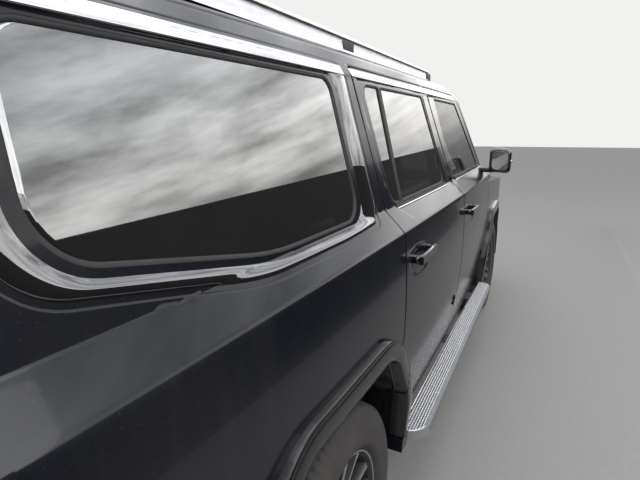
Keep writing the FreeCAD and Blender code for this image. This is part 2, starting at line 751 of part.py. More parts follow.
REAR_BUMPER = [
    (-1600, -200, 0), (TAIL, -200, 0), (TAIL, 100, 0), (TAIL + 22, 640, 700), (TAIL + 120, 985, 120),
    (-1600, 1140, 0)]
bumper_top = s.gate_bottom_height - 20


def bumper_form(inset):
    plan = grown(REAR_BUMPER, -inset) if inset else REAR_BUMPER
    deep = swung(body_section(inset, inset, inset, inset, 300))
    return deep.common(plan_prism(plan, 250, 800))


rear_bumper = bumper_form(0).common(box((-FAR, 0, 350), (-1897, 1200, bumper_top)))
rear_bumper = rear_bumper.cut(bumper_form(40).common(box((-FAR, -300, 0), (0, 1200, bumper_top - 40))))
rear_bumper = rear_bumper.cut(bumper_form(90)).cut(box((-2542, -10, 618), (-1800, 912, 700)))
rear_bumper = rear_bumper.fuse(box((TAIL + 36, 440, 500), (TAIL + 109.7, 500, 590)))
add("rear_bumper", whole(rear_bumper))


def turned(points):
    """A closed (y, radius) outline turned about the Y axis through the origin."""
    face = Part.Face(rounded_wire(points, lambda p: V(0, p.x, p.y)))
    return face.revolve(V(0, 0, 0), ACROSS, 360)


def tyre():
    """Tyre section with flat tread, shoulders and bulged sidewalls."""
    half = s.tyre_width / 2
    bead = s.rim_width / 2 - 11
    r = s.tyre_radius
    seat = s.rim_radius - 13
    # Columns: offset across the tread, radius, corner radius.
    return turned([
        (-bead, seat + 0.3, 0), (-bead, s.rim_radius + 0.4, 0), (-half, seat + 72, 0), (-half + 27, r, 0),
        (half - 27, r, 0), (half, seat + 72, 0), (bead, s.rim_radius + 0.4, 0), (bead, seat + 0.3, 0)])


def rim():
    """Rim with flanges, hub, paired spokes and brake disc; outboard is +Y."""
    half = s.rim_width / 2
    seat = s.rim_radius - 13
    barrel = turned([
        (-half, s.rim_radius, 0), (-half + 10, s.rim_radius, 0), (-half + 10, seat, 0),
        (half - 10, seat, 0), (half - 10, s.rim_radius, 0), (half, s.rim_radius, 0),
        (half, seat - 6, 0), (half - 40, seat - 16, 0), (-half, seat - 14, 0)])
    bore = s.spindle_radius + s.running_fit
    hub = turned([(8, bore, 0), (8, s.hub_radius, 0), (62, s.hub_radius, 0), (80, 58, 0), (88, 58, 0),
                  (88, 0, 0), (70, 0, 0), (70, bore, 0)])
    # Spoke seen square to the axle. Columns: radius, offset, corner radius.
    spoke_side = [(s.hub_radius - 24, 34, 0), (seat - 12, 74, 0), (seat - 8, 100, 0), (150, 92, 0),
                  (s.hub_radius - 24, 80, 0)]
    spoke = Part.Face(rounded_wire(spoke_side, lambda p: V(-10, p.y, p.x))).extrude(V(20, 0, 0))
    pieces = [barrel, hub]
    pairs = int(s.spoke_pairs)
    for k in range(pairs):
        for side_step in (-1, 1):
            turn = (k + 0.5) * 360 / pairs + side_step * 10
            arm = spoke.copy()
            arm.rotate(V(0, 0, 0), ACROSS, turn)
            pieces.append(arm)
    disc = turned([(-26, bore, 0), (-26, 172, 0), (2, 172, 0), (2, 90, 0), (12, 82, 0), (12, bore, 0)])
    return fused(pieces + [disc]).removeSplitter()


def moved(shape, x, y, z):
    copy = shape.copy()
    copy.translate(V(x, y, z))
    return copy


TYRE = tyre()
RIM = rim()
for end, wheel_x in (("front", FRONT_AXLE), ("rear", REAR_AXLE)):
    left = moved(RIM, wheel_x, WHEEL_Y, s.tyre_radius)
    rubber = moved(TYRE, wheel_x, WHEEL_Y, s.tyre_radius)
    for side_name, flip in (("left", False), ("right", True)):
        parts = [left, rubber]
        if flip:
            parts = [mirrored(p) for p in parts]
        add("rim_%s_%s" % (end, side_name), parts[0])
        add("tyre_%s_%s" % (end, side_name), parts[1])


def upright(x):
    """Knuckle or hub carrier of the left side: boss on the kingpin line, spindle and caliper."""
    z = s.tyre_radius
    boss = rod((x, KINGPIN_Y, z - 134), (x, KINGPIN_Y, z + 134), 30)
    spindle = rod((x, KINGPIN_Y, z), (x, WHEEL_Y + 69.7, z), s.spindle_radius)
    caliper = box((x - 212, WHEEL_Y - 48, z - 70), (x - 128, WHEEL_Y + 22, z + 70)).cut(
        rod((x, WHEEL_Y - 33, z), (x, WHEEL_Y + 9, z), 179))
    bracket = box((x - 150, KINGPIN_Y - 12, z - 40), (x, WHEEL_Y - 47, z + 40))
    bores = [rod((x, KINGPIN_Y, z + k * 140), (x, KINGPIN_Y, z + k * 100), 12 + s.running_fit) for k in (-1, 1)]
    whole_piece = fused([boss, spindle, bracket, caliper])
    return whole_piece.cut(fused(bores))


def wishbones(x, inner_y):
    """Upper and lower arms of the left side, each with its pin up or down into the upright."""
    pieces = []
    for way, reach in ((-1, 190), (1, 120)):
        z = s.tyre_radius + way * 146
        pad = rod((x, KINGPIN_Y, z - 12), (x, KINGPIN_Y, z + 12), 28)
        pin = rod((x, KINGPIN_Y, z), (x, KINGPIN_Y, z - way * 44), 12)
        arm_points = [
            (x - reach, inner_y, 0), (x - reach + 50, inner_y, 0), (x, KINGPIN_Y - 60, 40),
            (x + reach - 50, inner_y, 0), (x + reach, inner_y, 0), (x + 26, KINGPIN_Y, 0),
            (x - 26, KINGPIN_Y, 0)]
        arm = plan_prism(arm_points, z - 12, z + 12)
        pieces.append(fused([pad, pin, arm]))
    return pieces


RAIL_Y = 430
RAIL_W = 80
knuckle = upright(FRONT_AXLE)
add("knuckle_left", knuckle)
add("knuckle_right", mirrored(knuckle))
rear_upright = upright(REAR_AXLE)
add("hub_carriers", both_sides(rear_upright))
arms = wishbones(FRONT_AXLE, RAIL_Y + RAIL_W) + wishbones(REAR_AXLE, RAIL_Y + RAIL_W)
add("suspension_arms", Part.makeCompound(arms + [mirrored(a) for a in arms]))
RAIL = [
    (NOSE - 180, 470, 0), (NOSE - 180, 600, 0), (900, 600, 80), (600, 560, 80), (-700, 560, 80),
    (-950, 624.7, 80), (-1750, 624.7, 80), (-1950, 600, 80), (TAIL + 110, 600, 0), (TAIL + 110, 490, 0),
    (-1900, 490, 80), (-1700, 515, 80), (-1000, 515, 80), (-750, 430, 80), (650, 430, 80), (900, 470, 80)]
rail = side_prism(RAIL, RAIL_Y, RAIL_Y + RAIL_W)
rails = [rail, mirrored(rail)]
for x, low in ((NOSE - 260, 490), (FRONT_AXLE - 190, 480), (FRONT_AXLE + 120, 480), (500, 450),
               (-450, 450), (REAR_AXLE - 190, 530), (REAR_AXLE + 120, 530), (TAIL + 300, 500)):
    rails.append(box((x, -RAIL_Y, low), (x + 70, RAIL_Y, low + 80)))
for x, high in ((FRONT_AXLE, 480), (REAR_AXLE, 525)):
    for start in (x - 190, x + 140):
        for y in (RAIL_Y + 20, -RAIL_Y - RAIL_W + 0.3):
            rails.append(box((start, y, s.tyre_radius - 170), (start + 50, y + RAIL_W - 20.3, high)))
frame = fused(rails).removeSplitter()
add("chassis_frame", frame)

FLOOR_Z = 625
floor = box((-2540, 0, FLOOR_Z), (1330, 905, FLOOR_Z + 30)).common(
    INNER.common(tail_form(s.gate_wall + 6)).fuse(box((-2540, 0, 100), (1330, 850, 800))))
floor = floor.cut(box((-930, 868, 600), (s.front_cut_x + 22, 1000, 700)))
liner_out = side_prism(arch_outline(REAR_AXLE, 24), 690, 905)
liner_in = side_prism(arch_outline(REAR_AXLE, 8), 706, 1300)
hump = liner_out.cut(liner_in).common(box((-FAR, 0, s.underside_height + 60), (FAR, 905, 1400))).common(INNER)
hump = hump.cut(box((REAR_AXLE - 140, 680, 0), (REAR_AXLE + 140, 720, 590)))
floor = floor.cut(liner_out).fuse(hump)
firewall = box((1300, 0, FLOOR_Z), (1330, 840, 1195))
cowl = box((1300, 0, 1085), (1600, 872, 1115)).common(screen_drum(14))
screen_seat = screen_drum(2 + s.screen_thickness + 0.3).cut(screen_drum(60)).common(
    screen_prism([(-150, -10, 0), (30, -10, 0), (30, 798, 0), (-150, 798, 0)], -200, 100))
floor = fused([floor, firewall, cowl, screen_seat, hood_post])
floor = floor.cut(side_prism(arch_outline(FRONT_AXLE, 20.3), 515.7, 1300))
add("floor_pan", whole(floor))
front_liner = side_prism(arch_outline(FRONT_AXLE, 20), 516, 1100).cut(
    side_prism(arch_outline(FRONT_AXLE, 6), 530, 1300)).common(
    box((-FAR, 0, s.underside_height + 60), (FAR, 1100, 1100))).common(clip_inside(s.fender_skin + 0.3))
front_liner = front_liner.cut(box((FRONT_AXLE - 140, 500, 0), (FRONT_AXLE + 140, 540, 590)))
add("front_wheel_liners", both_sides(front_liner))


def bound_box(name, corner, length, width, height):
    """A plain block whose three sizes are bound to the sheet."""
    feature = doc.addObject("Part::Box", name)
    feature.Label = name
    feature.setExpression("Length", "Sizes." + length)
    feature.setExpression("Width", "Sizes." + width)
    feature.setExpression("Height", "Sizes." + height)
    feature.Placement = FreeCAD.Placement(V(*corner), FreeCAD.Rotation())
    NODES[name] = feature
    return feature


bound_box("engine", (1480, -s.engine_width / 2, 560.3), "engine_length", "engine_width", "engine_height")
bound_box("radiator", (2440, -s.radiator_width / 2, 570.3), "radiator_thickness", "radiator_width",
          "radiator_height")
bound_box("fuel_tank", (-379.7, 60, 360), "tank_length", "tank_width", "tank_height")
add("driveline", fused([
    rod((600, 0, 540), (1479.7, 0, 540), 80), rod((-600, 0, 575), (610, 0, 575), 35),
    Part.makeSphere(44, V(-600, 0, 575)), rod((-600, 0, 575), (-1270, 0, 470), 35),
    Part.makeSphere(100, V(REAR_AXLE, 0, 470)),
    rod((REAR_AXLE, 30.3 - KINGPIN_Y, s.tyre_radius), (REAR_AXLE, KINGPIN_Y - 30.3, s.tyre_radius), 22)]))
EXHAUST_Y = -200
EXHAUST_Z = 330
exhaust = fused([
    rod((1445, EXHAUST_Y, 600), (1320, EXHAUST_Y, EXHAUST_Z), 30), Part.makeSphere(36, V(1320, EXHAUST_Y, EXHAUST_Z)),
    rod((1320, EXHAUST_Y, EXHAUST_Z), (-250, EXHAUST_Y, EXHAUST_Z), 30),
    rod((-250, EXHAUST_Y, EXHAUST_Z), (-820, EXHAUST_Y, EXHAUST_Z), 98),
    rod((-800, EXHAUST_Y, EXHAUST_Z), (-2440, EXHAUST_Y, EXHAUST_Z), 30),
    box((-430, EXHAUST_Y - 12, 400), (-400, EXHAUST_Y + 12, 449.7)),
    box((REAR_AXLE - 170, EXHAUST_Y - 12, 340), (REAR_AXLE - 140, EXHAUST_Y + 12, 529.7))])
add("exhaust", exhaust)
BOARD = [(-792, 985, 0), (1225, 985, 0), (1225, s.board_half_width, 85), (-792, s.board_half_width, 95)]
board = plan_prism(BOARD, s.board_height - 40, s.board_height)
brackets = []
for x in (-600, 200, 1000):
    brackets.append(box((x, RAIL_Y + 0.3, 350), (x + 60, 1040, 384)))
    brackets.append(box((x, RAIL_Y + s.running_fit, 384), (x + 60, RAIL_Y + 60, 429.7)))
add("running_boards", both_sides(fused([board] + brackets)))
rail_bar = box((-2050, 700, 1895), (450, 735, s.rail_height))
rail_feet = [box((x, 690, 1868), (x + 110, 735, 1900)) for x in (-2050, -800, 340)]
add("roof_rails", both_sides(fused([rail_bar] + rail_feet).cut(OUTER)))


def seat(x, y, width, back_height, base=FLOOR_Z + 30):
    """One seat: pedestal, cushion, back and head restraint."""
    low, high = y - width / 2, y + width / 2
    cushion = box((x - 240, low, base + 150), (x + 250, high, base + 290))
    pedestal = box((x - 180, low + 60, base), (x + 180, high - 60, base + 150))
    back = Part.Face(rounded_wire([
        (x - 230, base + 290, 0), (x - 100, base + 290, 30), (x - 230, base + back_height, 40),
        (x - 350, base + back_height, 40)], in_side(low))).extrude(V(0, width, 0))
    head = box((x - 350, y - 130, base + back_height - 5), (x - 260, y + 130, base + back_height + 165))
    return fused([cushion, pedestal, back, head])


front_seat = seat(400, 420, 540, 830)
add("front_seats", both_sides(front_seat))
add("middle_seats", both_sides(seat(-420, 420, 540, 780)))
add("rear_bench", seat(-1330, 0, 1180, 700))
DASH = [(960, 900, 60), (960, 1120, 60), (1040, 1190, 60), (1299.7, 1190, 0), (1299.7, 860, 0), (1060, 800, 60)]
dash = side_prism(DASH, -860, 860)
console = side_prism([(120, FLOOR_Z + 31, 0), (120, 960, 60), (760, 930, 60), (1030, 990, 0),
                      (1200, 900, 0), (1200, FLOOR_Z + 31, 0)], -130, 130)
wheel_centre = V(800, 420, 1080)
wheel_axis = V(-0.9, 0, 0.43)
column_way = Part.makeCylinder(26.3, 200.3, wheel_centre + wheel_axis * -200.6, wheel_axis)
add("dashboard", fused([dash, console]).cut(column_way))
steering = Part.makeTorus(185, 15, wheel_centre, wheel_axis)
hub_block = Part.makeCylinder(55, 60, wheel_centre + wheel_axis * -35, wheel_axis)
column = Part.makeCylinder(26, 180, wheel_centre + wheel_axis * -200, wheel_axis)
steer_parts = [steering, hub_block, column]
for turn in (90, 210, 330):
    arm = Part.makeBox(150, 30, 14, V(40, -15, -7))
    arm.rotate(V(0, 0, 0), UP, turn)
    arm.Placement = FreeCAD.Placement(wheel_centre, FreeCAD.Rotation(UP, wheel_axis)).multiply(arm.Placement)
    steer_parts.append(arm)
add("steering_wheel", fused(steer_parts))


mirror_shell = Part.Face(rounded_wire([
    (1035, 1020, 0), (1190, 1020, 50), (1172, 1130, 50), (1120, 1162, 30), (1050, 1162, 25)],
    in_plan(1292))).extrude(UP * 178)
mirror_arm = box((1070, 900, 1286), (1150, 1040, 1322)).cut(OUTER)
mirror = fused([mirror_shell, mirror_arm])
add("mirror_left", mirror)
add("mirror_right", mirrored(mirror))
HITCH_Z = 300
hitch = box((TAIL, -38, HITCH_Z - 38), (TAIL + 230, 38, HITCH_Z + 38)).cut(
    box((TAIL - 10, -25.4, HITCH_Z - 25.4), (TAIL + 200, 25.4, HITCH_Z + 25.4)))
hitch = hitch.cut(rod((TAIL + 50, -60, HITCH_Z), (TAIL + 50, 60, HITCH_Z), 8))
hitch_bar = box((TAIL + 170, -520, HITCH_Z - 20), (TAIL + 230, 520, HITCH_Z + 40))
hitch_legs = [box((TAIL + 170, y, HITCH_Z - 20), (TAIL + 230, y + 60, 489.7)) for y in (-500, 440)]
add("tow_hitch", fused([hitch, hitch_bar] + hitch_legs))

doc.recompute()
for item in doc.Objects:
    if "Invalid" in item.State or "Error" in item.State:
        raise RuntimeError("%s did not build" % item.Name)
for name, feature in NODES.items():
    if feature.Shape.isNull() or not feature.Shape.isValid():
        raise RuntimeError("%s has no sound shape" % name)
os.makedirs("parts", exist_ok=True)
for name, feature in NODES.items():
    feature.Shape.exportStep("parts/%s.step" % name)
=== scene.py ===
"""Looks of a full-size sport utility vehicle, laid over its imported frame. Metres, +X forward, +Z up."""
import bpy
import math

import numpy as np
from mathutils import Matrix, Vector, geometry


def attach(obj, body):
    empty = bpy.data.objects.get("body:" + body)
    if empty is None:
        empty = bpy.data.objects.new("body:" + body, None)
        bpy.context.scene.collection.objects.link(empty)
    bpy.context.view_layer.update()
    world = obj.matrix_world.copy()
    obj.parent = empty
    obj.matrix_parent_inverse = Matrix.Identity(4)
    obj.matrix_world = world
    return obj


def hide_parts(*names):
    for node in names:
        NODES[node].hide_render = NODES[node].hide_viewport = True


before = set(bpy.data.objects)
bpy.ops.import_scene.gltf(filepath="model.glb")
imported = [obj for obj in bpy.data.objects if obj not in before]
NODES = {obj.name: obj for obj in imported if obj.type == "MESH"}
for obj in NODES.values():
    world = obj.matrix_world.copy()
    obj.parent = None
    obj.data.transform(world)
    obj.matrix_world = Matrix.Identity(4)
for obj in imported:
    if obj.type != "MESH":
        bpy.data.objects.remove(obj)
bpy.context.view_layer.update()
PI = math.pi
scene = bpy.context.scene


# Materials
def feed(tree, node, **values):
    """Sets a node's inputs, each from a plain value or from another node's output."""
    for key, value in values.items():
        socket = node.inputs[key.replace("_", " ")]
        if isinstance(value, bpy.types.NodeSocket):
            tree.links.new(value, socket)
        else:
            socket.default_value = value


def add(tree, kind, output=None, setup=(), **values):
    """A new shader node with its settings and inputs, or the named output of it."""
    node = tree.nodes.new("ShaderNode" + kind)
    for key, value in setup:
        setattr(node, key, value)
    feed(tree, node, **values)
    return node.outputs[output] if output else node


def mixed(tree, factor, a, b, blend="MIX"):
    """Two colours mixed by a factor."""
    setup = (("data_type", "RGBA"), ("blend_type", blend))
    return add(tree, "Mix", "Result", setup, Factor=factor, A=a, B=b)


def blank(name):
    m = bpy.data.materials.new(name)
    m.use_nodes = True
    tree = m.node_tree
    return m, tree, tree.nodes["Principled BSDF"], add(tree, "TexCoord", "Object")


def shades(tree, fac, dark, light):
    ramp = add(tree, "ValToRGB", Fac=fac)
    for stop, color in zip(ramp.color_ramp.elements, (dark, light)):
        stop.color = (*color, 1)
    return ramp.outputs["Color"]


def material(name, color, rough=0.4, metal=0.0, vary=0.25, scale=40.0, bump=0.0, bump_scale=200.0, **more):
    """A shader whose colour and roughness vary over the surface, with a fine bump where one is asked for."""
    m, tree, shader, place = blank(name)
    fac = add(tree, "TexNoise", "Fac", Vector=place, Scale=scale, Detail=5.0)
    c = np.array(color)
    shade = shades(tree, fac, c * (1 - vary), np.minimum(c * (1 + vary), 1.0))
    gloss = add(tree, "MapRange", "Result", Value=fac, To_Min=rough * 0.75, To_Max=min(rough * 1.3, 1.0))
    feed(tree, shader, Base_Color=shade, Roughness=gloss, Metallic=metal, **more)
    if bump:
        fine = add(tree, "TexNoise", "Fac", Vector=place, Scale=bump_scale, Detail=3.0)
        feed(tree, shader, Normal=add(tree, "Bump", "Normal", Strength=bump, Distance=0.002, Height=fine))
    return m


def paint(name, color, dust, coat=0.9, level=0.5):
    """Clear-coated paint under a thin uneven film of dust with fine pale specks and runs."""
    m, tree, shader, place = blank(name)

    def noise(scale, detail, stretch=(1, 1, 1)):
        stretched = add(tree, "Mapping", "Vector", Vector=place, Scale=stretch)
        return add(tree, "TexNoise", "Fac", Vector=stretched, Scale=scale, Detail=detail)

    def ranged(value, low, high, to_low, to_high):
        return add(tree, "MapRange", "Result", Value=value, From_Min=low, From_Max=high,
                   To_Min=to_low, To_Max=to_high)

    def plus(a, b):
        total = add(tree, "Math")
        tree.links.new(a, total.inputs[0])
        tree.links.new(b, total.inputs[1])
        return total.outputs[0]

    film = ranged(noise(2.2, 6.0), 0.35, 0.75, 0.3 * dust, 1.3 * dust)
    runs = ranged(noise(26.0, 3.0, (1, 1, 0.08)), 0.52, 0.8, 0.0, 0.5 * dust)
    specks = ranged(noise(420.0, 2.0), 0.68, 0.78, 0.0, 5.5 * dust)
    amount = plus(plus(film, runs), specks)
    shade = mixed(tree, amount, (*color, 1), (0.34, 0.325, 0.30, 1))
    feed(tree, shader, Base_Color=shade, Roughness=ranged(amount, 0.0, 0.4, 0.16, 0.55), Coat_Weight=coat,
         Coat_Roughness=0.045, Specular_IOR_Level=level)
    return m


def glass(name, tint, alpha, sheen):
    """Tinted glass: mostly mirror-like gloss over a dark, partly see-through body."""
    m, tree, shader, place = blank(name)
    fac = add(tree, "TexNoise", "Fac", Vector=place, Scale=9.0)
    feed(tree, shader, Base_Color=shades(tree, fac, np.array(tint) * 0.8, tint), Roughness=0.02, IOR=1.6,
         Metallic=sheen, Alpha=alpha, Coat_Weight=1.0, Coat_Roughness=0.01)
    return m


M = {
    "paint": paint("black_paint", (0.005, 0.0065, 0.012), 0.034, 0.22, 0.20),
    "gloss": paint("gloss_black", (0.008, 0.008, 0.009), 0.008),
    "flare": paint("flare_paint", (0.008, 0.008, 0.009), 0.06, 0.35, 0.25),
    "bead": material("satin_bead", (0.30, 0.30, 0.305), 0.22, 1.0, 0.1, 30),
    "chrome": material("bright_trim", (0.62, 0.62, 0.63), 0.16, 1.0, 0.1, 30),
    "rubber": material("seal_rubber", (0.012, 0.012, 0.012), 0.6, 0.0, 0.3, 60, 0.25, 500),
    "plastic": material("black_plastic", (0.022, 0.022, 0.023), 0.55, 0.0, 0.2, 50, 0.35, 700),
    # Near-black matte: the windscreen's own black band, and painted shade in the gap round the quarter frame
    # and on the sheets behind the grille and the lower mouth
    "dark": material("black_band_and_painted_shade", (0.004, 0.004, 0.004), 0.85, 0.0, 0.3, 20),
    "tyre": material("tyre_rubber", (0.062, 0.058, 0.055), 0.78, 0.0, 0.45, 14, 0.3, 400),
    "alloy": material("machined_alloy", (0.60, 0.60, 0.61), 0.24, 1.0, 0.12, 25, 0.1, 900),
    "alloy_dark": material("painted_pocket", (0.05, 0.05, 0.053), 0.4, 0.4, 0.2, 30),
    "steel": material("bare_steel", (0.33, 0.32, 0.31), 0.42, 0.9, 0.3, 30, 0.2, 300),
    "iron": material("cast_iron", (0.09, 0.085, 0.08), 0.7, 0.3, 0.4, 18, 0.5, 120),
    "frame": material("frame_black", (0.018, 0.018, 0.018), 0.5, 0.0, 0.4, 12, 0.3, 90),
    "board": material("board_alloy", (0.40, 0.41, 0.42), 0.42, 0.55, 0.22, 34, 0.3, 260),
    "leather": material("seat_leather", (0.075, 0.066, 0.058), 0.5, 0.0, 0.2, 60, 0.5, 420),
    "dash": material("dash_plastic", (0.035, 0.034, 0.034), 0.6, 0.0, 0.2, 60, 0.5, 600),
    "liner": material("roof_lining", (0.30, 0.29, 0.27), 0.9, 0.0, 0.15, 90, 0.4, 800),
    "red": material("red_lens", (0.30, 0.012, 0.012), 0.08, 0.0, 0.25, 120, Coat_Weight=1.0),
    "lamp": material("clear_lens", (0.62, 0.64, 0.66), 0.06, 0.3, 0.2, 90, Coat_Weight=1.0),
    "amber": material("amber_lens", (0.55, 0.18, 0.02), 0.12, 0.0, 0.2, 90, Coat_Weight=1.0),
    "plate": material("blank_plate", (0.55, 0.55, 0.53), 0.4, 0.1, 0.06, 30, 0.1, 200),
    "privacy": glass("privacy_glass", (0.20, 0.205, 0.205), 0.93, 0.92),
    "piano": glass("piano_black", (0.135, 0.137, 0.145), 1.0, 0.9),
    "clear": glass("clear_glass", (0.10, 0.105, 0.10), 0.50, 0.6),
    "mirror": material("mirror_glass", (0.62, 0.65, 0.66), 0.03, 1.0, 0.05, 9),
}
# The slot of each material; make() works out a piece's slot from it where the call names no other, but sets
# it on nothing
SLOTS = {"body_paint": "paint flare", "black_plastic": "gloss piano rubber plastic dark",
         "bright_metal": "chrome bead mirror", "bare_alloy": "alloy steel board plate",
         "lamp_lens": "red lamp amber", "dark_glass": "privacy", "side_glass": "clear",
         "seat_cloth": "leather dash liner", "tyre": "tyre"}
SLOT_OF = {mat: slot for slot, mats in SLOTS.items() for mat in mats.split()}
# The frame's own solids, by the starts of their names
SOLIDS = {
    "paint": "bodyside door_front door_rear roof_panel liftgate hood fenders front_bumper nose_panel "
             "rear_bumper",
    "gloss": "headlamps", "chrome": "grille", "leather": "front_seats middle_seats rear_bench",
    "iron": "knuckle hub_carriers suspension_arms engine driveline", "steel": "radiator exhaust",
    "frame": "chassis_frame floor_pan tow_hitch", "plastic": "front_wheel_liners fuel_tank roof_rails mirror",
    "board": "running_boards", "dash": "dashboard steering_wheel", "alloy": "rim", "tyre": "tyre",
    "red": "tail_lamps", "clear": "windscreen door_glass_front",
    "privacy": "door_glass_rear quarter_windows liftgate_glass"}
SOLID_MAT = {start: mat for mat, starts in SOLIDS.items() for start in starts.split()}
for name, ob in NODES.items():
    best = max((start for start in SOLID_MAT if name.startswith(start)), key=len)
    ob.data.materials.clear()
    ob.data.materials.append(M[SOLID_MAT[best]])

# Mesh helpers
OTHER_SIDE = {"door_fl": "door_fr", "door_rl": "door_rr", "wheel_fl": "wheel_fr", "wheel_rl": "wheel_rr"}
MIRRORED = np.array([1, -1, 1])
CUBE = ((0, 1, 3, 2), (4, 6, 7, 5), (0, 4, 5, 1), (2, 3, 7, 6), (0, 2, 6, 4), (1, 5, 7, 3))


def swapped(name):
    """The name of the right-hand twin."""
    return name[:-4] + "right" if name.endswith("_left") else name


def one_piece(name, verts, faces, mats, body, normals, smooth, indices, node):
    me = bpy.data.meshes.new(name)
    me.from_pydata([tuple(v) for v in verts], [], [tuple(int(i) for i in f) for f in faces])
    me.validate()
    ob = bpy.data.objects.new(name, me)
    scene.collection.objects.link(ob)
    for mat in mats:
        me.materials.append(M[mat])
    if indices is not None:
        me.polygons.foreach_set("material_index", np.array(indices, dtype=np.int32))
    if smooth:
        me.polygons.foreach_set("use_smooth", [True] * len(me.polygons))
    if normals is not None and len(me.vertices) == len(normals):
        me.normals_split_custom_set_from_vertices([tuple(n) for n in normals])
    me.update()
    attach(ob, body)
    if node:
        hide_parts(node)
    return ob


def make(name, verts, faces, mat, body, normals=None, smooth=True, slot=None, indices=None, node=None):
    """A mesh piece that rides on a body. A name that ends in _left also gives the mirror image of it."""
    mats = [mat] if isinstance(mat, str) else mat
    slot = SLOT_OF[mats[0]] if slot is None else slot
    verts = np.array(verts, float)
    made = [one_piece(name, verts, faces, mats, body, normals, smooth, indices, node)]
    if name.endswith("_left"):
        facing = None if normals is None else normals * MIRRORED
        made.append(one_piece(swapped(name), verts * MIRRORED, [f[::-1] for f in faces], mats,
                              OTHER_SIDE.get(body, body), facing, smooth, indices,
                              node and swapped(node)))
    return made


def unit(a):
    return a / np.maximum(np.linalg.norm(a, axis=-1, keepdims=True), 1e-12)


def quads(rows, count, closed=True, base=0):
    """Faces between rows of equally many points; a closed row joins up with its own start."""
    F = []
    for k in range(base, base + (rows - 1) * count, count):
        for i in range(count if closed else count - 1):
            j = (i + 1) % count
            F.append([k + i, k + j, k + count + j, k + count + i])
    return F


def lay(mapper, points, height):
    """Flat points put on a mapped surface, all at one height."""
    return mapper(points[:, 0], points[:, 1], np.full(len(points), height))


def rect(a, b, c, d, r):
    """An outline from both ends across, both heights and a corner radius."""
    return [(a, c, r), (a, d, r), (b, d, r), (b, c, r)]


def mm(rows):
    """An outline given in millimetres."""
    return [(x / 1000, z / 1000, r / 1000) for x, z, r in rows]


def smooth_step(t):
    t = np.clip(t, 0, 1)
    return t * t * (3 - 2 * t)


def grown(points, amount):
    """An outline of (x, z, corner radius) points moved outward by an amount."""
    n = len(points)
    area = sum(points[i - 1][0] * points[i][1] - points[i][0] * points[i - 1][1] for i in range(n))
    turn = 1 if area > 0 else -1
    lines = []
    for i in range(n):
        u0, v0 = points[i][:2]
        u1, v1 = points[(i + 1) % n][:2]
        d = math.hypot(u1 - u0, v1 - v0)
        du, dv = (u1 - u0) / d, (v1 - v0) / d
        lines.append((u0 + turn * dv * amount, v0 - turn * du * amount, du, dv))
    out = []
    for i in range(n):
        a0, b0, da, db = lines[i - 1]
        c0, d0, dc, dd = lines[i]
        den = da * dd - db * dc
        x, z = c0, d0
        if abs(den) > 1e-9:
            t = ((c0 - a0) * dd - (d0 - b0) * dc) / den
            x, z = a0 + da * t, b0 + db * t
        r = points[i][2]
        sign = (points[i][0] - points[i - 1][0]) * (points[(i + 1) % n][1] - points[i][1])
        sign -= (points[i][1] - points[i - 1][1]) * (points[(i + 1) % n][0] - points[i][0])
        out.append((x, z, max(r + amount * (1 if sign * turn > 0 else -1), 0.0005) if r else 0))
    return out


def corners(points):
    """Each corner's rounding: where it starts and ends, its centre, radius and turn."""
    n = len(points)
    found = []
    for i in range(n):
        c = np.array(points[i][:2])
        back = unit(np.array(points[i - 1][:2]) - c)
        ahead = unit(np.array(points[(i + 1) % n][:2]) - c)
        r = points[i][2]
        if r:
            half = math.acos(max(-1, min(1, float(back @ ahead)))) / 2
            trim = r / math.tan(half)
            centre = c + unit(back + ahead) * r / math.sin(half)
            found.append((c + back * trim, c + ahead * trim, centre, r, PI - 2 * half))
        else:
            found.append((c, c, c, 0, 0))
    return found


def rings(points, amounts, gap=0.02):
    """Matching loops round an outline at each growth, all with the same number of points."""
    n = len(points)
    base = corners(points)
    counts = [(max(3, math.ceil(b[4] * b[3] / gap), math.ceil(b[4] / 0.2)) if b[3] else 0) for b in base]
    spans = [max(1, round(float(np.linalg.norm(base[(i + 1) % n][0] - base[i][1])) / gap)) for i in range(n)]
    result = []
    for amount in amounts:
        rows = corners(grown(points, amount) if amount else points)
        loop = []
        for i in range(n):
            a, b, centre = rows[i][:3]
            va, vb = a - centre, b - centre
            w = math.acos(max(-1, min(1, float(unit(va) @ unit(vb))))) if counts[i] else 0
            for k in range(counts[i] + 1):
                if w > 1e-6:
                    t = k / counts[i]
                    loop.append(centre + (math.sin((1 - t) * w) * va + math.sin(t * w) * vb) / math.sin(w))
                else:
                    loop.append(centre + va)
            following = rows[(i + 1) % n][0]
            loop += [b + (following - b) * k / spans[i] for k in range(1, spans[i])]
        result.append(np.array(loop))
    return result


def inside(poly, pts):
    """Which points lie inside a closed loop."""
    x, y = pts[:, 0][:, None], pts[:, 1][:, None]
    x0, y0 = poly[:, 0][None], poly[:, 1][None]
    x1, y1 = np.roll(poly[:, 0], -1)[None], np.roll(poly[:, 1], -1)[None]
    dy = np.where(np.abs(y1 - y0) < 1e-12, 1e-12, y1 - y0)
    hit = ((y0 > y) != (y1 > y)) & (x < (x1 - x0) * (y - y0) / dy + x0)
    return hit.sum(1) % 2 == 1


def near(poly, pts):
    """Distance from each point to a closed loop."""
    best = np.full(len(pts), 1e9)
    for p, q in zip(poly, np.roll(poly, -1, axis=0)):
        d = q - p
        t = np.clip(((pts - p) @ d) / max(float(d @ d), 1e-12), 0, 1)
        best = np.minimum(best, np.hypot(*(pts - p - t[:, None] * d).T))
    return best


def normals_of(mapper, u, v):
    """Unit normals of a mapped surface, on the side that offsets go to."""
    e = 0.0015
    z = np.zeros_like(u)
    n = unit(np.cross(mapper(u + e, v, z) - mapper(u - e, v, z), mapper(u, v + e, z) - mapper(u, v - e, z)))
    out = mapper(u, v, z + 0.01) - mapper(u, v, z)
    return n * np.sign((n * out).sum(1))[:, None]


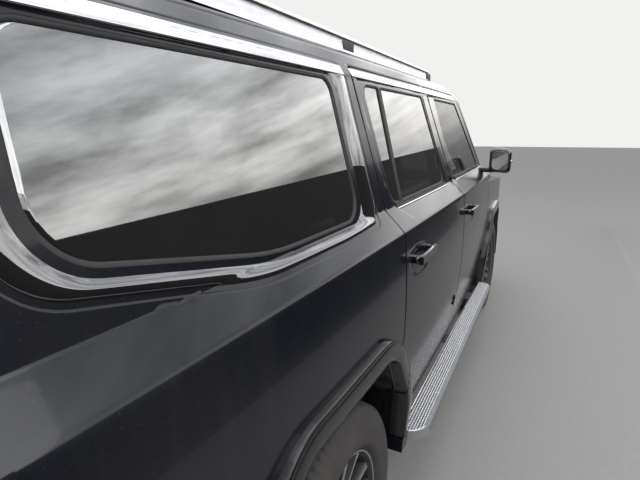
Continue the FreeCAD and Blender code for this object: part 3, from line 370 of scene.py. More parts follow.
def within(loops, pts):
    """Which points lie inside the first loop and outside the others."""
    ok = inside(loops[0], pts)
    for loop in loops[1:]:
        ok &= ~inside(loop, pts)
    return ok


def grid_points(loops, grid, rows):
    """Points of a grid inside the first loop and outside the others, clear of every edge."""
    low, high = loops[0].min(0), loops[0].max(0)
    us, vs = [np.linspace(low[k], high[k], max(3, int((high[k] - low[k]) / grid[k]) + 2)) for k in (0, 1)]
    if len(rows):
        vs = np.array(sorted(set(np.round(vs, 5)) | set(np.round(rows, 5))))
        vs = np.array([v for i, v in enumerate(vs) if i == 0 or v - vs[i - 1] > 0.0015])
    uu, vv = np.meshgrid(us, vs)
    pts = np.stack([uu.ravel(), vv.ravel()], 1)
    pts = pts[within(loops, pts)]
    for loop in loops:
        pts = pts[near(loop, pts) > min(grid) * 0.3]
    return pts


def panel(name, outline, mapper, mat, body, holes=(), grid=(0.03, 0.03), rows=(), lip=0.018, rad=0.004,
          lift=0.0, hole_rad=None, **more):
    """A curved panel from a flat outline: the face follows the mapper, and every edge is rolled inward."""
    steps = [0.0, 0.25, 0.5, 0.75, 1.0]
    tilts = [t * PI / 2 for t in steps] + [PI / 2]

    def rolled(points, r, way):
        inward = [-r * (1 - math.sin(t * PI / 2)) for t in steps] + [0.0]
        deep = [r * (1 - math.cos(t * PI / 2)) for t in steps] + [max(lip, r)]
        return rings(points, [way * a for a in inward]), deep

    P, flats, N, F, edges = [], [], [], [], []
    total = 0
    edge_sets = [rolled(outline, rad, 1)] + [rolled(hole, hole_rad or rad, -1) for hole in holes]
    for loops, depths in edge_sets:
        m = len(loops[0])
        F += quads(len(loops), m, base=total)
        edges += [(total + i, total + (i + 1) % m) for i in range(m)]
        outward = lay(mapper, loops[-1], lift) - lay(mapper, loops[0], lift)
        for ring, depth, tilt in zip(loops, depths, tilts):
            pos = lay(mapper, ring, lift - depth)
            facing = normals_of(mapper, ring[:, 0], ring[:, 1])
            across = unit(np.cross(unit(np.roll(pos, -1, axis=0) - np.roll(pos, 1, axis=0)), facing))
            sign = np.sign((outward * across).sum(1))
            sign[sign == 0] = 1
            P.append(pos)
            flats.append(ring)
            N.append(unit(facing * math.cos(tilt) + across * sign[:, None] * math.sin(tilt)))
            total += m
    rims = [loops[0] for loops, depths in edge_sets]
    pts = grid_points(rims, grid, rows)
    flat = np.concatenate(flats + [pts])
    use = sorted({i for e in edges for i in e}) + list(range(total, total + len(pts)))
    back = {g: i for i, g in enumerate(use)}
    res = geometry.delaunay_2d_cdt([Vector(flat[g]) for g in use], [(back[a], back[b]) for a, b in edges],
                                   [], 0, 1e-7)
    origin = [use[o[0]] if len(o) else -1 for o in res[3]]
    fresh = [i for i, o in enumerate(origin) if o < 0]
    if fresh:
        extra = np.array([res[0][i][:] for i in fresh])
        for k, i in enumerate(fresh):
            origin[i] = len(flat) + k
        pts = np.concatenate([pts, extra])
        flat = np.concatenate([flat, extra])
    triangles = [[origin[i] for i in f] for f in res[2]]
    triangles = [f for f in triangles if len(set(f)) == 3]
    ok = within(rims, np.array([flat[f].mean(0) for f in triangles]))
    F += [f for f, good in zip(triangles, ok) if good]
    P = np.concatenate(P + [lay(mapper, pts, lift)])
    N = np.concatenate(N + [normals_of(mapper, pts[:, 0], pts[:, 1])])
    for f in F:
        a, b, c = P[f[0]], P[f[1]], P[f[2]]
        if np.dot(np.cross(b - a, c - a), N[f].sum(0)) < 0:
            f.reverse()
    return make(name, P, F, mat, body, N, **more)


def band(name, outline, amounts, depths, mapper, mat, body, keep=None, gap=0.02, slot=None):
    """A strip that runs round an outline, with its own profile of growth against depth."""
    loops = rings(outline, amounts, gap)
    flat = np.concatenate(loops)
    P = np.concatenate([lay(mapper, loop, -d) for loop, d in zip(loops, depths)])
    F = [f for f in quads(len(loops), len(loops[0])) if keep is None or keep(flat[f].mean(0))]
    out = lay(mapper, flat, 0.01) - lay(mapper, flat, 0.0)
    f = F[len(F) // 2]
    a, b, c = P[f[0]], P[f[1]], P[f[2]]
    if np.dot(np.cross(b - a, c - a), out[f[0]]) < 0:
        F = [f[::-1] for f in F]
    return make(name, P, F, mat, body, slot=slot)


def loft(name, sections, mat, body, closed=True, caps=True, **more):
    """A skin through equal-length point loops; caps fill the first and last."""
    m = len(sections[0])
    F = quads(len(sections), m, closed)
    if caps:
        last_row = (len(sections) - 1) * m
        F += [list(range(m))[::-1], list(range(last_row, last_row + m))]
    return make(name, np.concatenate(sections), F, mat, body, **more)


def turned(name, profile, count, mat, body, place, **more):
    """A (y, radius) profile turned about the axle line."""
    a = np.linspace(0, 2 * PI, count, endpoint=False)
    loops = [np.stack([r * np.sin(a), np.full(count, y), r * np.cos(a)], -1) + place
             for y, r in profile[::-1]]
    return loft(name, loops, mat, body, caps=False, **more)


def tube(name, pts, radii, mat, body, sides=10, flat=1.0, **more):
    """A swept bar through points, with a radius at each."""
    pts = np.array(pts, float)
    t = unit(np.gradient(pts, axis=0))
    s = unit(np.cross(t, np.array([0, 0, 1.0])) + 1e-9)
    a = np.linspace(0, 2 * PI, sides, endpoint=False)
    sections = [[p + r * (math.cos(q) * si + flat * math.sin(q) * wi) for q in a]
                for p, r, si, wi in zip(pts, np.broadcast_to(radii, len(pts)), s, np.cross(s, t))]
    return loft(name, sections, mat, body, **more)


def pillow(name, outline, low, high, rnd, mat, body, gap=0.02, bend=None, **more):
    """An upright block over a plan outline, rounded at the top and the bottom."""
    steps = np.linspace(0, PI / 2, 6)
    rows = [(-rnd * (1 - math.sin(a)), low + rnd * (1 - math.cos(a))) for a in steps]
    rows += [(-rnd * (1 - math.cos(a)), high - rnd * (1 - math.sin(a))) for a in steps]
    sections = []
    for row, loop in zip(rows, rings(outline, [growth for growth, z in rows], gap)):
        q = np.stack([loop[:, 0], loop[:, 1], np.full(len(loop), row[1])], -1)
        sections.append(bend(q) if bend else q)
    return loft(name, sections, mat, body, **more)


def box_points(low, high):
    return [(x, y, z) for x in (low[0], high[0]) for y in (low[1], high[1]) for z in (low[2], high[2])]


def blocks(name, boxes, mat, bevel, segments=2, node=None):
    """Several rounded blocks as one piece of the body; each is (low, high)."""
    V = [p for box in boxes for p in box_points(*box)]
    F = [[8 * k + i for i in f] for k in range(len(boxes)) for f in CUBE]
    ob = make(name, V, F, mat, "chassis", node=node)[0]
    edge = ob.modifiers.new("bevel", "BEVEL")
    edge.width = bevel
    edge.segments = segments
    edge.harden_normals = True


# Body surface
SECTION = [(-0.76, 0.388, 0), (0.946, 0.388, 0), (0.972, 0.44, 0.06), (1.045, 0.86, 2.5),
           (1.022, 1.255, 0.03), (0.952, 1.33, 0.012), (0.848, 1.762, 0.07), (0.76, 1.862, 0.1),
           (0, 1.906, 11.2), (-0.76, 1.862, 0)]
BOW = 45.0
curve = rings(SECTION, [0.0], 0.008)[0]
first = int(np.argmin(np.abs(curve[:, 0] - SECTION[1][0]) + np.abs(curve[:, 1] - SECTION[1][1])))
PROFILE = curve[first:int(np.argmax(curve[:, 1])) + 1]
ARC = np.concatenate([[0], np.cumsum(np.hypot(*np.diff(PROFILE, axis=0).T))])
BREAK = 1.80
BREAK_ARC = float(np.interp(BREAK, PROFILE[:, 1], ARC))
# The girth coordinate: plain height up to the roof edge, and the way along the skin beyond it
GIRTH = np.where(PROFILE[:, 1] <= BREAK, PROFILE[:, 1], BREAK + ARC - BREAK_ARC)


def ysec(w):
    """How far out the skin lies at a girth."""
    return np.interp(w, GIRTH, PROFILE[:, 0])


def zsec(w):
    """How high the skin lies at a girth."""
    return np.interp(w, GIRTH, PROFILE[:, 1])


def girth_at(y):
    """The girth of the roof's skin at a distance from the middle."""
    top = PROFILE[:, 1] > BREAK
    return float(np.interp(-y, -PROFILE[top, 0], GIRTH[top]))


def recede(x):
    """How far the sides and the roof's edge draw in with the distance from the middle of the body."""
    return BOW - np.sqrt(BOW ** 2 - x * x)


def side(u, v, off):
    """Left body side at station u and girth v, off metres out from the skin."""
    e = 0.004
    dy, dz = ysec(v + e) - ysec(v - e), zsec(v + e) - zsec(v - e)
    n = unit(np.stack([u / BOW * dz, dz, -dy], -1))
    return np.stack([u, ysec(v) - recede(u), zsec(v)], -1) + n * np.asarray(off)[..., None]


def roof(u, v, off):
    """The roof at station u and section offset v from the middle."""
    top = PROFILE[:, 1] > 1.7
    z = np.interp(-np.abs(v), -PROFILE[top, 0], PROFILE[top, 1])
    return np.stack([u, v - np.sign(v) * recede(u) * np.clip(np.abs(v) / 0.6, 0, 1), z + off], -1)


def tail_x(z):
    """Where the tailgate's face stands at a height."""
    return np.interp(z, [0.1, 1.2, 2.0], [-2.665, -2.65, -2.40])


def gate_y(z):
    """Half the tailgate's width at a height."""
    return np.interp(z, [0.655, 1.25, 1.775, 1.83], [0.815, 0.806, 0.70, 0.63])


def bent(a, b, c, t):
    """A curve from a to b that leans toward c."""
    return a * (1 - t) ** 2 + 2 * c * t * (1 - t) + b * t ** 2


def quarter(u, v, off):
    """The side, wrapped round the rear corner beyond its last straight station."""
    start = tail_x(zsec(v)) + 0.17
    t = np.clip((start - u) / 0.27, 0, 1.2)[:, None]
    a = side(start, v, off)
    z = zsec(v)
    b = np.stack([tail_x(z) + 0.010, gate_y(z) + 0.007, z], -1)
    b = b - np.stack([np.asarray(off), 0 * v, 0 * v], -1)
    c = np.stack([tail_x(z) + 0.022, a[:, 1] - 0.030, z], -1)
    c = c + np.stack([-0.6 * np.asarray(off), 0.3 * np.asarray(off), 0 * v], -1)
    return np.where(t > 0, bent(a, b, c, t), side(u, v, off))


def hood_z(x, y):
    """The hood's height: it falls forward, is crowned across and drops away to the fender."""
    y = np.abs(y)
    return 1.238 - 0.08 * (x - 1.5) + np.where(y < 0.688, 0.0036 - y * y / 18, 0.030 - 0.0767 * y)


def hood_map(u, v, off):
    """The hood's skin at station u and offset v from the middle."""
    return np.stack([u, v, hood_z(u, v) + off], -1)


def fender_map(u, v, off):
    """The side up to the hood's edge, then round it and inward over the top of the fender."""
    ze = 1.1913 - 0.08 * (u - 1.5)
    ye = ysec(ze) - recede(u)
    t = np.clip((v - (ze - 0.045)) / 0.095, 0, 1)[:, None]
    far = np.clip(v - (ze + 0.05), 0, 1)
    o = np.asarray(off)
    c = np.stack([u, ye + o, ze + o], -1)
    b = np.stack([u, ye - 0.05, hood_z(u, ye - 0.05) + o], -1)
    top = np.stack([u, ye - 0.05 - far, hood_z(u, ye - 0.05 - far) + o], -1)
    bend = np.where(far[:, None] > 0, top, bent(side(u, ze - 0.045, o), b, c, t))
    return np.where(t <= 0, side(u, np.minimum(v, ze - 0.045), o), bend)


def rear_face(u, v, off):
    """The tailgate's face at offset u from the middle and height v."""
    x = tail_x(v) + 0.6 * np.clip(np.abs(u) - 0.60, 0, 1) ** 2
    return np.stack([x - off, u, v], -1)


def relief_map(base, *terms):
    """A mapper with the depths of the given terms added to it."""
    def mapped(u, v, off):
        return base(u, v, np.asarray(off) + sum(t(u, v) for t in terms))
    return mapped


def dish(x, z, wide, high, deep):
    """A depth term for a round-cornered hollow, as behind a handle."""
    return lambda u, v: -deep * np.exp(-(((u - x) / wide) ** 2 + ((v - z) / high) ** 2) ** 2)


def step_in(outline, deep, width):
    """A depth term that sinks the inside of an outline."""
    loop = rings(outline, [0.0], 0.03)[0]

    def depth(u, v):
        pts = np.stack([np.ravel(u), np.ravel(v)], 1)
        d = near(loop, pts) * np.where(inside(loop, pts), 1, -1)
        return (-deep * smooth_step(d / width + 0.5)).reshape(np.shape(u))
    return depth


FRONT_AXLE, REAR_AXLE, WHEEL_Y, HUB_Z = 1.7765, -1.3475, 0.872, 0.406
FRONT_DOOR = mm([(1195, 455, 60), (1195, 1335, 60), (643, 1790, 60), (-85, 1790, 20), (125, 1255, 150),
                 (125, 455, 30)])
REAR_DOOR = mm([(118, 455, 30), (118, 1255, 150), (-92, 1790, 20), (-965, 1790, 40), (-900, 1255, 150)])
REAR_DOOR += [(-0.9, 0.668, 0), (-0.879, 0.600, 0), (-0.8725, 0.455, 0.003)]
FRONT_GLASS = mm([(1085, 1338, 25), (600, 1742, 45), (25, 1742, 25), (182, 1338, 35)])
REAR_GLASS = mm([(-28, 1338, 50), (-188, 1742, 30), (-895, 1742, 40), (-832, 1338, 60)])
QUARTER_GLASS = mm([(-1105, 1338, 80), (-1120, 1742, 45), (-2015, 1742, 60), (-2032, 1432, 110),
                    (-1560, 1338, 900)])
QUARTER_FRAME = mm([(-974, 1312, 62), (-1014, 1650, 900), (-1022, 1786, 14), (-2088, 1786, 70),
                    (-2084, 1402, 110), (-1640, 1306, 900), (-1250, 1304, 800)])

# Camera
PHOTO_WIDTH, FOCAL_PIXELS = 640, 451.1
EYE = (-2.3345, -1.4319, 1.599)
cam = bpy.data.cameras.new("camera")
camera = bpy.data.objects.new("camera", cam)
scene.collection.objects.link(camera)
yaw, pitch, roll = math.radians(27.33), math.radians(13.84), math.radians(-0.45)
level = Vector((math.cos(yaw), math.sin(yaw), 0))
right = Vector((math.sin(yaw), -math.cos(yaw), 0))
ahead = level * math.cos(pitch) - Vector((0, 0, 1)) * math.sin(pitch)
up = Vector((0, 0, 1)) * math.cos(pitch) + level * math.sin(pitch)
axes = Matrix((right * math.cos(roll) + up * math.sin(roll), up * math.cos(roll) - right * math.sin(roll),
               -ahead))
camera.matrix_world = Matrix.Translation(EYE) @ axes.transposed().to_4x4()
cam.sensor_width = 36
cam.lens = FOCAL_PIXELS / PHOTO_WIDTH * cam.sensor_width
cam.clip_start = 0.02
scene.camera = camera
scene.view_settings.view_transform = "Standard"

# Sky: cloudy in reflections, where it is also brighter, and pale to the camera
world = bpy.data.worlds.new("world")
scene.world = world
world.use_nodes = True
tree = world.node_tree
place = add(tree, "TexCoord", "Generated")
sky = add(tree, "ValToRGB", Fac=add(tree, "SeparateXYZ", "Z", Vector=place))
SKY = [(0.0, (0.10, 0.10, 0.105)), (0.05, (0.13, 0.13, 0.13)), (0.12, (0.42, 0.41, 0.40)),
       (0.22, (0.74, 0.73, 0.71)), (0.45, (0.62, 0.63, 0.65)), (1.0, (0.50, 0.52, 0.56))]
for height, color in SKY[1:-1]:
    sky.color_ramp.elements.new(height)
for stop, (height, color) in zip(sky.color_ramp.elements, SKY):
    stop.color = (*color, 1)
flat = add(tree, "Mapping", "Vector", Vector=place, Scale=(1.0, 1.0, 4.5), Rotation=(0.25, 0.1, 0.4))
cloud = add(tree, "TexNoise", "Fac", Vector=flat, Scale=3.2, Detail=7.0, Roughness=0.58)
cloud = add(tree, "MapRange", "Result", Value=cloud, From_Min=0.33, From_Max=0.68, To_Min=0.42, To_Max=1.5)
cloudy = mixed(tree, 1.0, sky.outputs["Color"], cloud, "MULTIPLY")
path = add(tree, "LightPath")
glossy = add(tree, "MapRange", "Result", Value=path.outputs["Is Glossy Ray"], To_Min=1.0, To_Max=2.9)
lit = add(tree, "VectorMath", "Vector", (("operation", "SCALE"),), Scale=glossy)
tree.links.new(cloudy, lit.node.inputs[0])
seen = mixed(tree, path.outputs["Is Camera Ray"], lit, (0.88, 0.88, 0.87, 1))
feed(tree, tree.nodes["Background"], Color=seen, Strength=1.0)


# Floor, lamps, and screens seen in reflections only
def stage_mesh(name, verts, mat):
    me = bpy.data.meshes.new(name)
    me.from_pydata(verts, [], [(0, 1, 2, 3)])
    ob = bpy.data.objects.new(name, me)
    scene.collection.objects.link(ob)
    me.materials.append(mat)
    return ob


floor_mat = material("floor", (0.36, 0.352, 0.342), 0.8, 0.0, 0.10, 30.0, 0.3, 140.0)
# The camera sees the floor pale; reflections and bounced light see it as a darker ground
tree = floor_mat.node_tree
shader = tree.nodes["Principled BSDF"]
pale = shader.inputs["Base Color"].links[0].from_socket
seen = mixed(tree, add(tree, "LightPath", "Is Camera Ray"), (0.30, 0.293, 0.284, 1), pale)
feed(tree, shader, Base_Color=seen)
stage_mesh("floor", [(-40, -40, 0), (40, -40, 0), (40, 40, 0), (-40, 40, 0)], floor_mat)
for name, place, turn, size, power in (("key", (-2, -7, 6.5), (52, 0, -12), 6.0, 330),
                                       ("fill", (-6, 5, 6), (50, 0, 225), 6.0, 170),
                                       ("top", (0, 0, 8), (0, 0, 0), 7.0, 230)):
    light = bpy.data.lights.new(name, "AREA")
    light.size = size
    light.energy = power
    lamp = bpy.data.objects.new(name, light)
    lamp.location = place
    lamp.rotation_euler = [math.radians(a) for a in turn]
    scene.collection.objects.link(lamp)
flag_mat = material("flag", (0.012, 0.012, 0.013), 0.9, 0.0, 0.3, 0.6)
for name, y in (("flag_right", -2.35), ("flag_left", 2.6)):
    flag = stage_mesh(name, [(-4.5, y, 0.02), (6.5, y, 0.02), (6.5, y, 1.95), (-4.5, y, 1.76)], flag_mat)
    flag.visible_camera = flag.visible_diffuse = flag.visible_shadow = flag.visible_transmission = False


# Body skins
PROUD = 0.0015


def skin(name, outline, mapper, body, lip=0.014, **more):
    """A painted panel, a hair proud of the solid under it."""
    return panel(name, outline, mapper, "paint", body, lift=PROUD, lip=lip, **more)


def hood_crease(u, v):
    """A depth term that raises a broad band on each half of the hood."""
    return 0.010 * smooth_step((np.abs(v) - 0.30) / 0.06) * smooth_step((0.74 - np.abs(v)) / 0.10)


def roof_ribs(u, v):
    """A depth term for the long grooves in the roof."""
    ribs = sum(np.exp(-((np.abs(v) - y) / 0.018) ** 2) for y in (0.14, 0.40))
    return -0.004 * ribs * smooth_step((0.55 - u) / 0.1) * smooth_step((u + 2.2) / 0.1)


W_DITCH = girth_at(0.648)
CREASE_ROWS = [1.235, 1.243, 1.249, 1.255, 1.261, 1.267, 1.275, 1.31, 1.322, 1.328, 1.334, 1.34]
HANDLE_ROWS = [1.10, 1.115, 1.145, 1.16]
BODY = [(1.203, 1.228, 0), (1.370, 1.228, 0), (1.226, 1.33, 0.05), (1.043, 1.5, 0.5), (0.748, 1.762, 0.3),
        (0.69, 1.87, 0.05), (0.70, W_DITCH, 0.01), (-2.352, W_DITCH, 0.01), (-2.40, 1.84, 0.01),
        (-2.553, 1.829, 0.01), (-2.57, 1.775, 0.05), (-2.75, 1.2, 0), (-2.757, 0.66, 0.004),
        (-1.893, 0.66, 0.004), (-1.893, 0.392, 0.004), (-1.8015, 0.392, 0), (-1.8015, 0.64, 0.24),
        (-1.622, 0.888, 0.15), (-1.072, 0.888, 0.15), (-0.907, 0.66, 0), (-0.907, 1.255, 0.15),
        (-0.972, 1.797, 0.04), (0.640, 1.797, 0.06), (1.203, 1.339, 0.06)]
LAMP_HOLE = [(-2.118, 1.243, 0.012), (-2.19, 1.112, 0.03), (-2.743, 1.112, 0.004), (-2.741, 1.243, 0.004)]
FRONT_RING = mm([(152, 1292, 60), (-70, 1800, 0), (690, 1800, 0), (1240, 1336, 60), (1130, 1292, 60)])
REAR_RING = mm([(-745, 1290, 110), (-868, 1420, 260), (-925, 1800, 0), (-70, 1800, 0), (90, 1288, 60)])
FENDER = [(1.2015, 0.392, 0.004), (1.2015, 1.334, 0.004), (2.40, 1.197, 0.004), (2.40, 0.776, 0.01),
          (2.317, 0.776, 0.01), (2.317, 0.392, 0.004), (2.2305, 0.392, 0), (2.2305, 0.64, 0.24),
          (2.052, 0.888, 0.15), (1.501, 0.888, 0.15), (1.3225, 0.64, 0.24), (1.3225, 0.392, 0)]
HOOD = [(1.645, -0.15, 0.7), (1.5, -0.88, 0.025), (2.43, -0.88, 0.14), (2.6, -0.56, 0.26), (2.622, 0.0, 0),
        (2.6, 0.56, 0.26), (2.43, 0.88, 0.14), (1.5, 0.88, 0.025), (1.645, 0.15, 0.7)]
ROOF = [(0.690, 0.642, 0.01), (0.757, 0.30, 0.8), (0.757, -0.30, 0.8), (0.690, -0.642, 0.01),
        (-2.354, -0.642, 0.01), (-2.354, 0.642, 0.01)]
GATE = [(0.812, 0.66, 0.05), (0.803, 1.25, 0.3), (0.70, 1.775, 0.08), (0.64, 1.835, 0.05),
        (-0.64, 1.835, 0.05), (-0.70, 1.775, 0.08), (-0.803, 1.25, 0.3), (-0.812, 0.66, 0.05)]
GATE_GLASS = [(0.722, 1.3, 0.07), (0.64, 1.735, 0.06), (-0.64, 1.735, 0.06), (-0.722, 1.3, 0.07)]
GATE_RING = mm([(800, 1262, 60), (650, 1790, 60), (-650, 1790, 60), (-800, 1262, 60)])
PLATE = [(0.30, 0.78, 0.02), (0.30, 0.96, 0.02), (-0.30, 0.96, 0.02), (-0.30, 0.78, 0.02)]
skin("body_skin_left", BODY, quarter, "chassis", holes=[grown(QUARTER_FRAME, 0.004), LAMP_HOLE],
     rows=CREASE_ROWS, rad=0.005, hole_rad=0.009)
for tag, outline, ring, deep, width, handle_x, handle_z, hole, body in (
        ("front", FRONT_DOOR, FRONT_RING, 0.005, 0.022, 0.318, 1.128, FRONT_GLASS, "door_fl"),
        ("rear", REAR_DOOR, REAR_RING, 0.006, 0.026, -0.737, 1.132, REAR_GLASS, "door_rl")):
    face = relief_map(side, step_in(ring, deep, width), dish(handle_x, handle_z, 0.088, 0.036, 0.016))
    skin("door_skin_%s_left" % tag, outline, face, body, holes=[grown(hole, 0.010)], grid=(0.026, 0.026),
         rows=CREASE_ROWS + HANDLE_ROWS, rad=0.0035)
skin("fender_skin_left", FENDER, fender_map, "chassis", 0.012, grid=(0.03, 0.02), rad=0.0035)
skin("hood_skin", HOOD, relief_map(hood_map, hood_crease), "hood_lid", 0.02, grid=(0.03, 0.02))
skin("roof_skin", ROOF, relief_map(roof, roof_ribs), "chassis", 0.012, grid=(0.05, 0.012))
skin("gate_skin", GATE, relief_map(rear_face, step_in(PLATE, 0.022, 0.03), step_in(GATE_RING, 0.005, 0.02)),
     "gate", 0.02, holes=[grown(GATE_GLASS, 0.008)], grid=(0.03, 0.025), rad=0.005)
panel("sill_skin_left", rect(-0.868, 1.200, 0.392, 0.446, 0.004), side, "plastic", "chassis",
      grid=(0.05, 0.012), lift=PROUD, rad=0.003, slot="body_paint")

# Glass
SLOPE = math.radians(39.5)
SCREEN_FOOT, SCREEN_BOW = (1.58, 1.225), 3.2
SCREEN = [(0.012, -0.80, 0.04), (0.012, 0.80, 0.04), (0.985, 0.655, 0.06), (0.985, -0.655, 0.06)]
SPLIT = mm([(-28, 1338, 50), (-188, 1742, 30), (-722, 1742, 8), (-722, 1338, 8)])
VENT = mm([(-754, 1338, 8), (-754, 1742, 8), (-895, 1742, 40), (-832, 1338, 60)])
SUNK = -0.0042
PANE = dict(grid=(0.08, 0.08), rad=0.001, lip=0.004, lift=SUNK)


def screen_map(u, v, off):
    """The windscreen at distance u up its slope and offset v from the middle."""
    depth = SCREEN_BOW - np.sqrt(SCREEN_BOW ** 2 - v * v) + 0.002 - off
    x = SCREEN_FOOT[0] - u * math.cos(SLOPE) - depth * math.sin(SLOPE)
    return np.stack([x, v, SCREEN_FOOT[1] + u * math.sin(SLOPE) - depth * math.cos(SLOPE)], -1)


panel("front_pane_left", FRONT_GLASS, side, "clear", "door_fl", node="door_glass_front_left", **PANE)
panel("rear_pane_left", SPLIT, side, "privacy", "door_rl", node="door_glass_rear_left", **PANE)
panel("rear_vent_left", VENT, side, "privacy", "door_rl", **PANE)
panel("gate_pane", GATE_GLASS, rear_face, "privacy", "gate", node="liftgate_glass", **dict(PANE, lift=-0.004))
panel("windscreen_pane", SCREEN, screen_map, "clear", "chassis", grid=(0.08, 0.05), rad=0.001, lip=0.005,
      node="windscreen")
band("windscreen_border", SCREEN, [0.0, -0.035], [-0.001, -0.001], screen_map, "dark", "chassis", slot="")
loop = rings(QUARTER_GLASS, [0.0], 0.02)[0]
middle = (loop.min(0) + loop.max(0)) / 2
shares = [0.0, 0.0, 0.04, 0.2, 0.4, 0.6, 0.8, 0.999]
rows = [lay(side, loop * (1 - a) + middle * a, height) for a, height in zip(shares, [-0.009] + [SUNK] * 7)]
centre_face = list(range(7 * len(loop), 8 * len(loop)))
make("quarter_pane_left", np.concatenate(rows), quads(8, len(loop)) + [centre_face], "privacy", "chassis",
     node="quarter_windows")


# Frames of the glass and trim
def spokes_to(loop, centre, scale, angles):
    """Where rays from the centre, in stretched coordinates, meet a closed loop."""
    a = (loop - centre) / scale
    e = np.roll(a, -1, axis=0) - a
    out = []
    for t in angles:
        d = np.array([math.cos(t), math.sin(t)])
        den = d[0] * e[:, 1] - d[1] * e[:, 0]
        den = np.where(np.abs(den) < 1e-12, 1e-12, den)
        r = (a[:, 0] * e[:, 1] - a[:, 1] * e[:, 0]) / den
        w = (a[:, 0] * d[1] - a[:, 1] * d[0]) / den
        out.append(d * r[(w >= -1e-9) & (w <= 1 + 1e-9) & (r > 0)].max())
    return np.array(out) * scale + centre


# The frame's crown, as share of the way from its outer to its inner outline against height
CROWN = [(0.0, -0.012), (0.005, -0.004), (0.02, -0.0004), (0.06, 0.0022), (0.14, 0.0046), (0.28, 0.0062),
         (0.45, 0.0064), (0.62, 0.0050), (0.78, 0.0024), (0.90, -0.0010), (0.97, -0.0045), (1.0, -0.0075)]
ends = [rings(outline, [0.0], 0.01)[0] for outline in (QUARTER_FRAME, grown(QUARTER_GLASS, 0.0095))]
middle = (ends[1].min(0) + ends[1].max(0)) / 2
angles = np.linspace(0, 2 * PI, 320, endpoint=False)
angles = angles - 0.12 * np.sin(4 * angles)
outer, inner = [spokes_to(end, middle, np.array([0.5, 0.22]), angles) for end in ends]
loft("quarter_frame_left", [lay(side, outer * (1 - a) + inner * a, height) for a, height in CROWN], "piano",
     "chassis", caps=False)
# The gap round the frame is floored with a near-black matte band: painted shade in the gap
band("quarter_gap_left", QUARTER_FRAME, [0.010, -0.010], [0.0115, 0.0115], side, "dark", "chassis", slot="")
for tag, outline, body in (("quarter", QUARTER_GLASS, "chassis"), ("front", FRONT_GLASS, "door_fl"),
                           ("rear", REAR_GLASS, "door_rl")):
    band(tag + "_seal_left", outline, [0.0105, 0.008, 0.004, 0.0, -0.007, -0.009],
         [0.010, 0.004, 0.0015, 0.001, 0.002, 0.0045], side, "rubber", body)
    band(tag + "_bead_left", outline, [0.0125, 0.0115, 0.0095, 0.0085], [0.006, 0.0015, 0.0012, 0.005], side,
         "bead", body)
for name, x0, x1, z0, z1, mat, body, lift in (
        ("roof_strip_quarter_left", -2.060, -1.028, 1.752, 1.780, "chrome", "chassis", 0.0075),
        ("roof_strip_rear_left", -0.958, -0.090, 1.756, 1.782, "chrome", "door_rl", 0.004),
        ("roof_strip_front_left", -0.080, 0.605, 1.756, 1.782, "chrome", "door_fl", 0.004),
        ("belt_rear_left", -0.805, -0.045, 1.324, 1.341, "rubber", "door_rl", 0.004),
        ("belt_front_left", 0.196, 1.075, 1.324, 1.341, "rubber", "door_fl", 0.004),
        ("belt_bead_rear_left", -0.800, -0.050, 1.319, 1.325, "chrome", "door_rl", 0.004),
        ("belt_bead_front_left", 0.200, 1.070, 1.319, 1.325, "chrome", "door_fl", 0.004)):
    panel(name, rect(x0, x1, z0, z1, 0.003), side, mat, body, grid=(0.05, 0.006), rad=0.0025, lip=0.010,
          lift=lift)
BAR = mm([(-754, 1340, 3), (-754, 1741, 3), (-722, 1741, 3), (-722, 1340, 3)])
panel("divider_left", BAR, side, "rubber", "door_rl", grid=(0.012, 0.05), lip=0.010, lift=0.001, slot="")
PILLAR_F = mm([(40, 1745, 10), (-78, 1745, 10), (118, 1335, 30), (176, 1335, 20)])
PILLAR_R = mm([(-96, 1745, 10), (-172, 1745, 10), (-22, 1335, 30), (104, 1335, 20)])
for name, outline, body in (("pillar_front_left", PILLAR_F, "door_fl"),
                            ("pillar_rear_left", PILLAR_R, "door_rl")):
    panel(name, outline, side, "gloss", body, grid=(0.02, 0.05), lip=0.006, lift=0.002)
panel("tail_lens_left", grown(LAMP_HOLE, -0.003), quarter, "red", "chassis", grid=(0.02, 0.02), rad=0.006,
      lip=0.03, lift=0.002, node="tail_lamps")


# Flares and liners
def flare_map(u, v, off):
    """The flares' outer face, which stands out from the body side."""
    y = np.interp(v, [0.388, 0.60, 0.86, 1.155], [1.030, 1.049, 1.0615, 1.048])
    return np.stack([u, y - recede(u) + off, v], -1)


def arch(x, low):
    """The wheel arch's outline round an axle, down to a low edge."""
    return [(x - 0.474, low, 0), (x - 0.474, 0.636, 0.26), (x - 0.285, 0.902, 0.17), (x + 0.285, 0.902, 0.17),
            (x + 0.474, 0.636, 0.26), (x + 0.474, low, 0)]


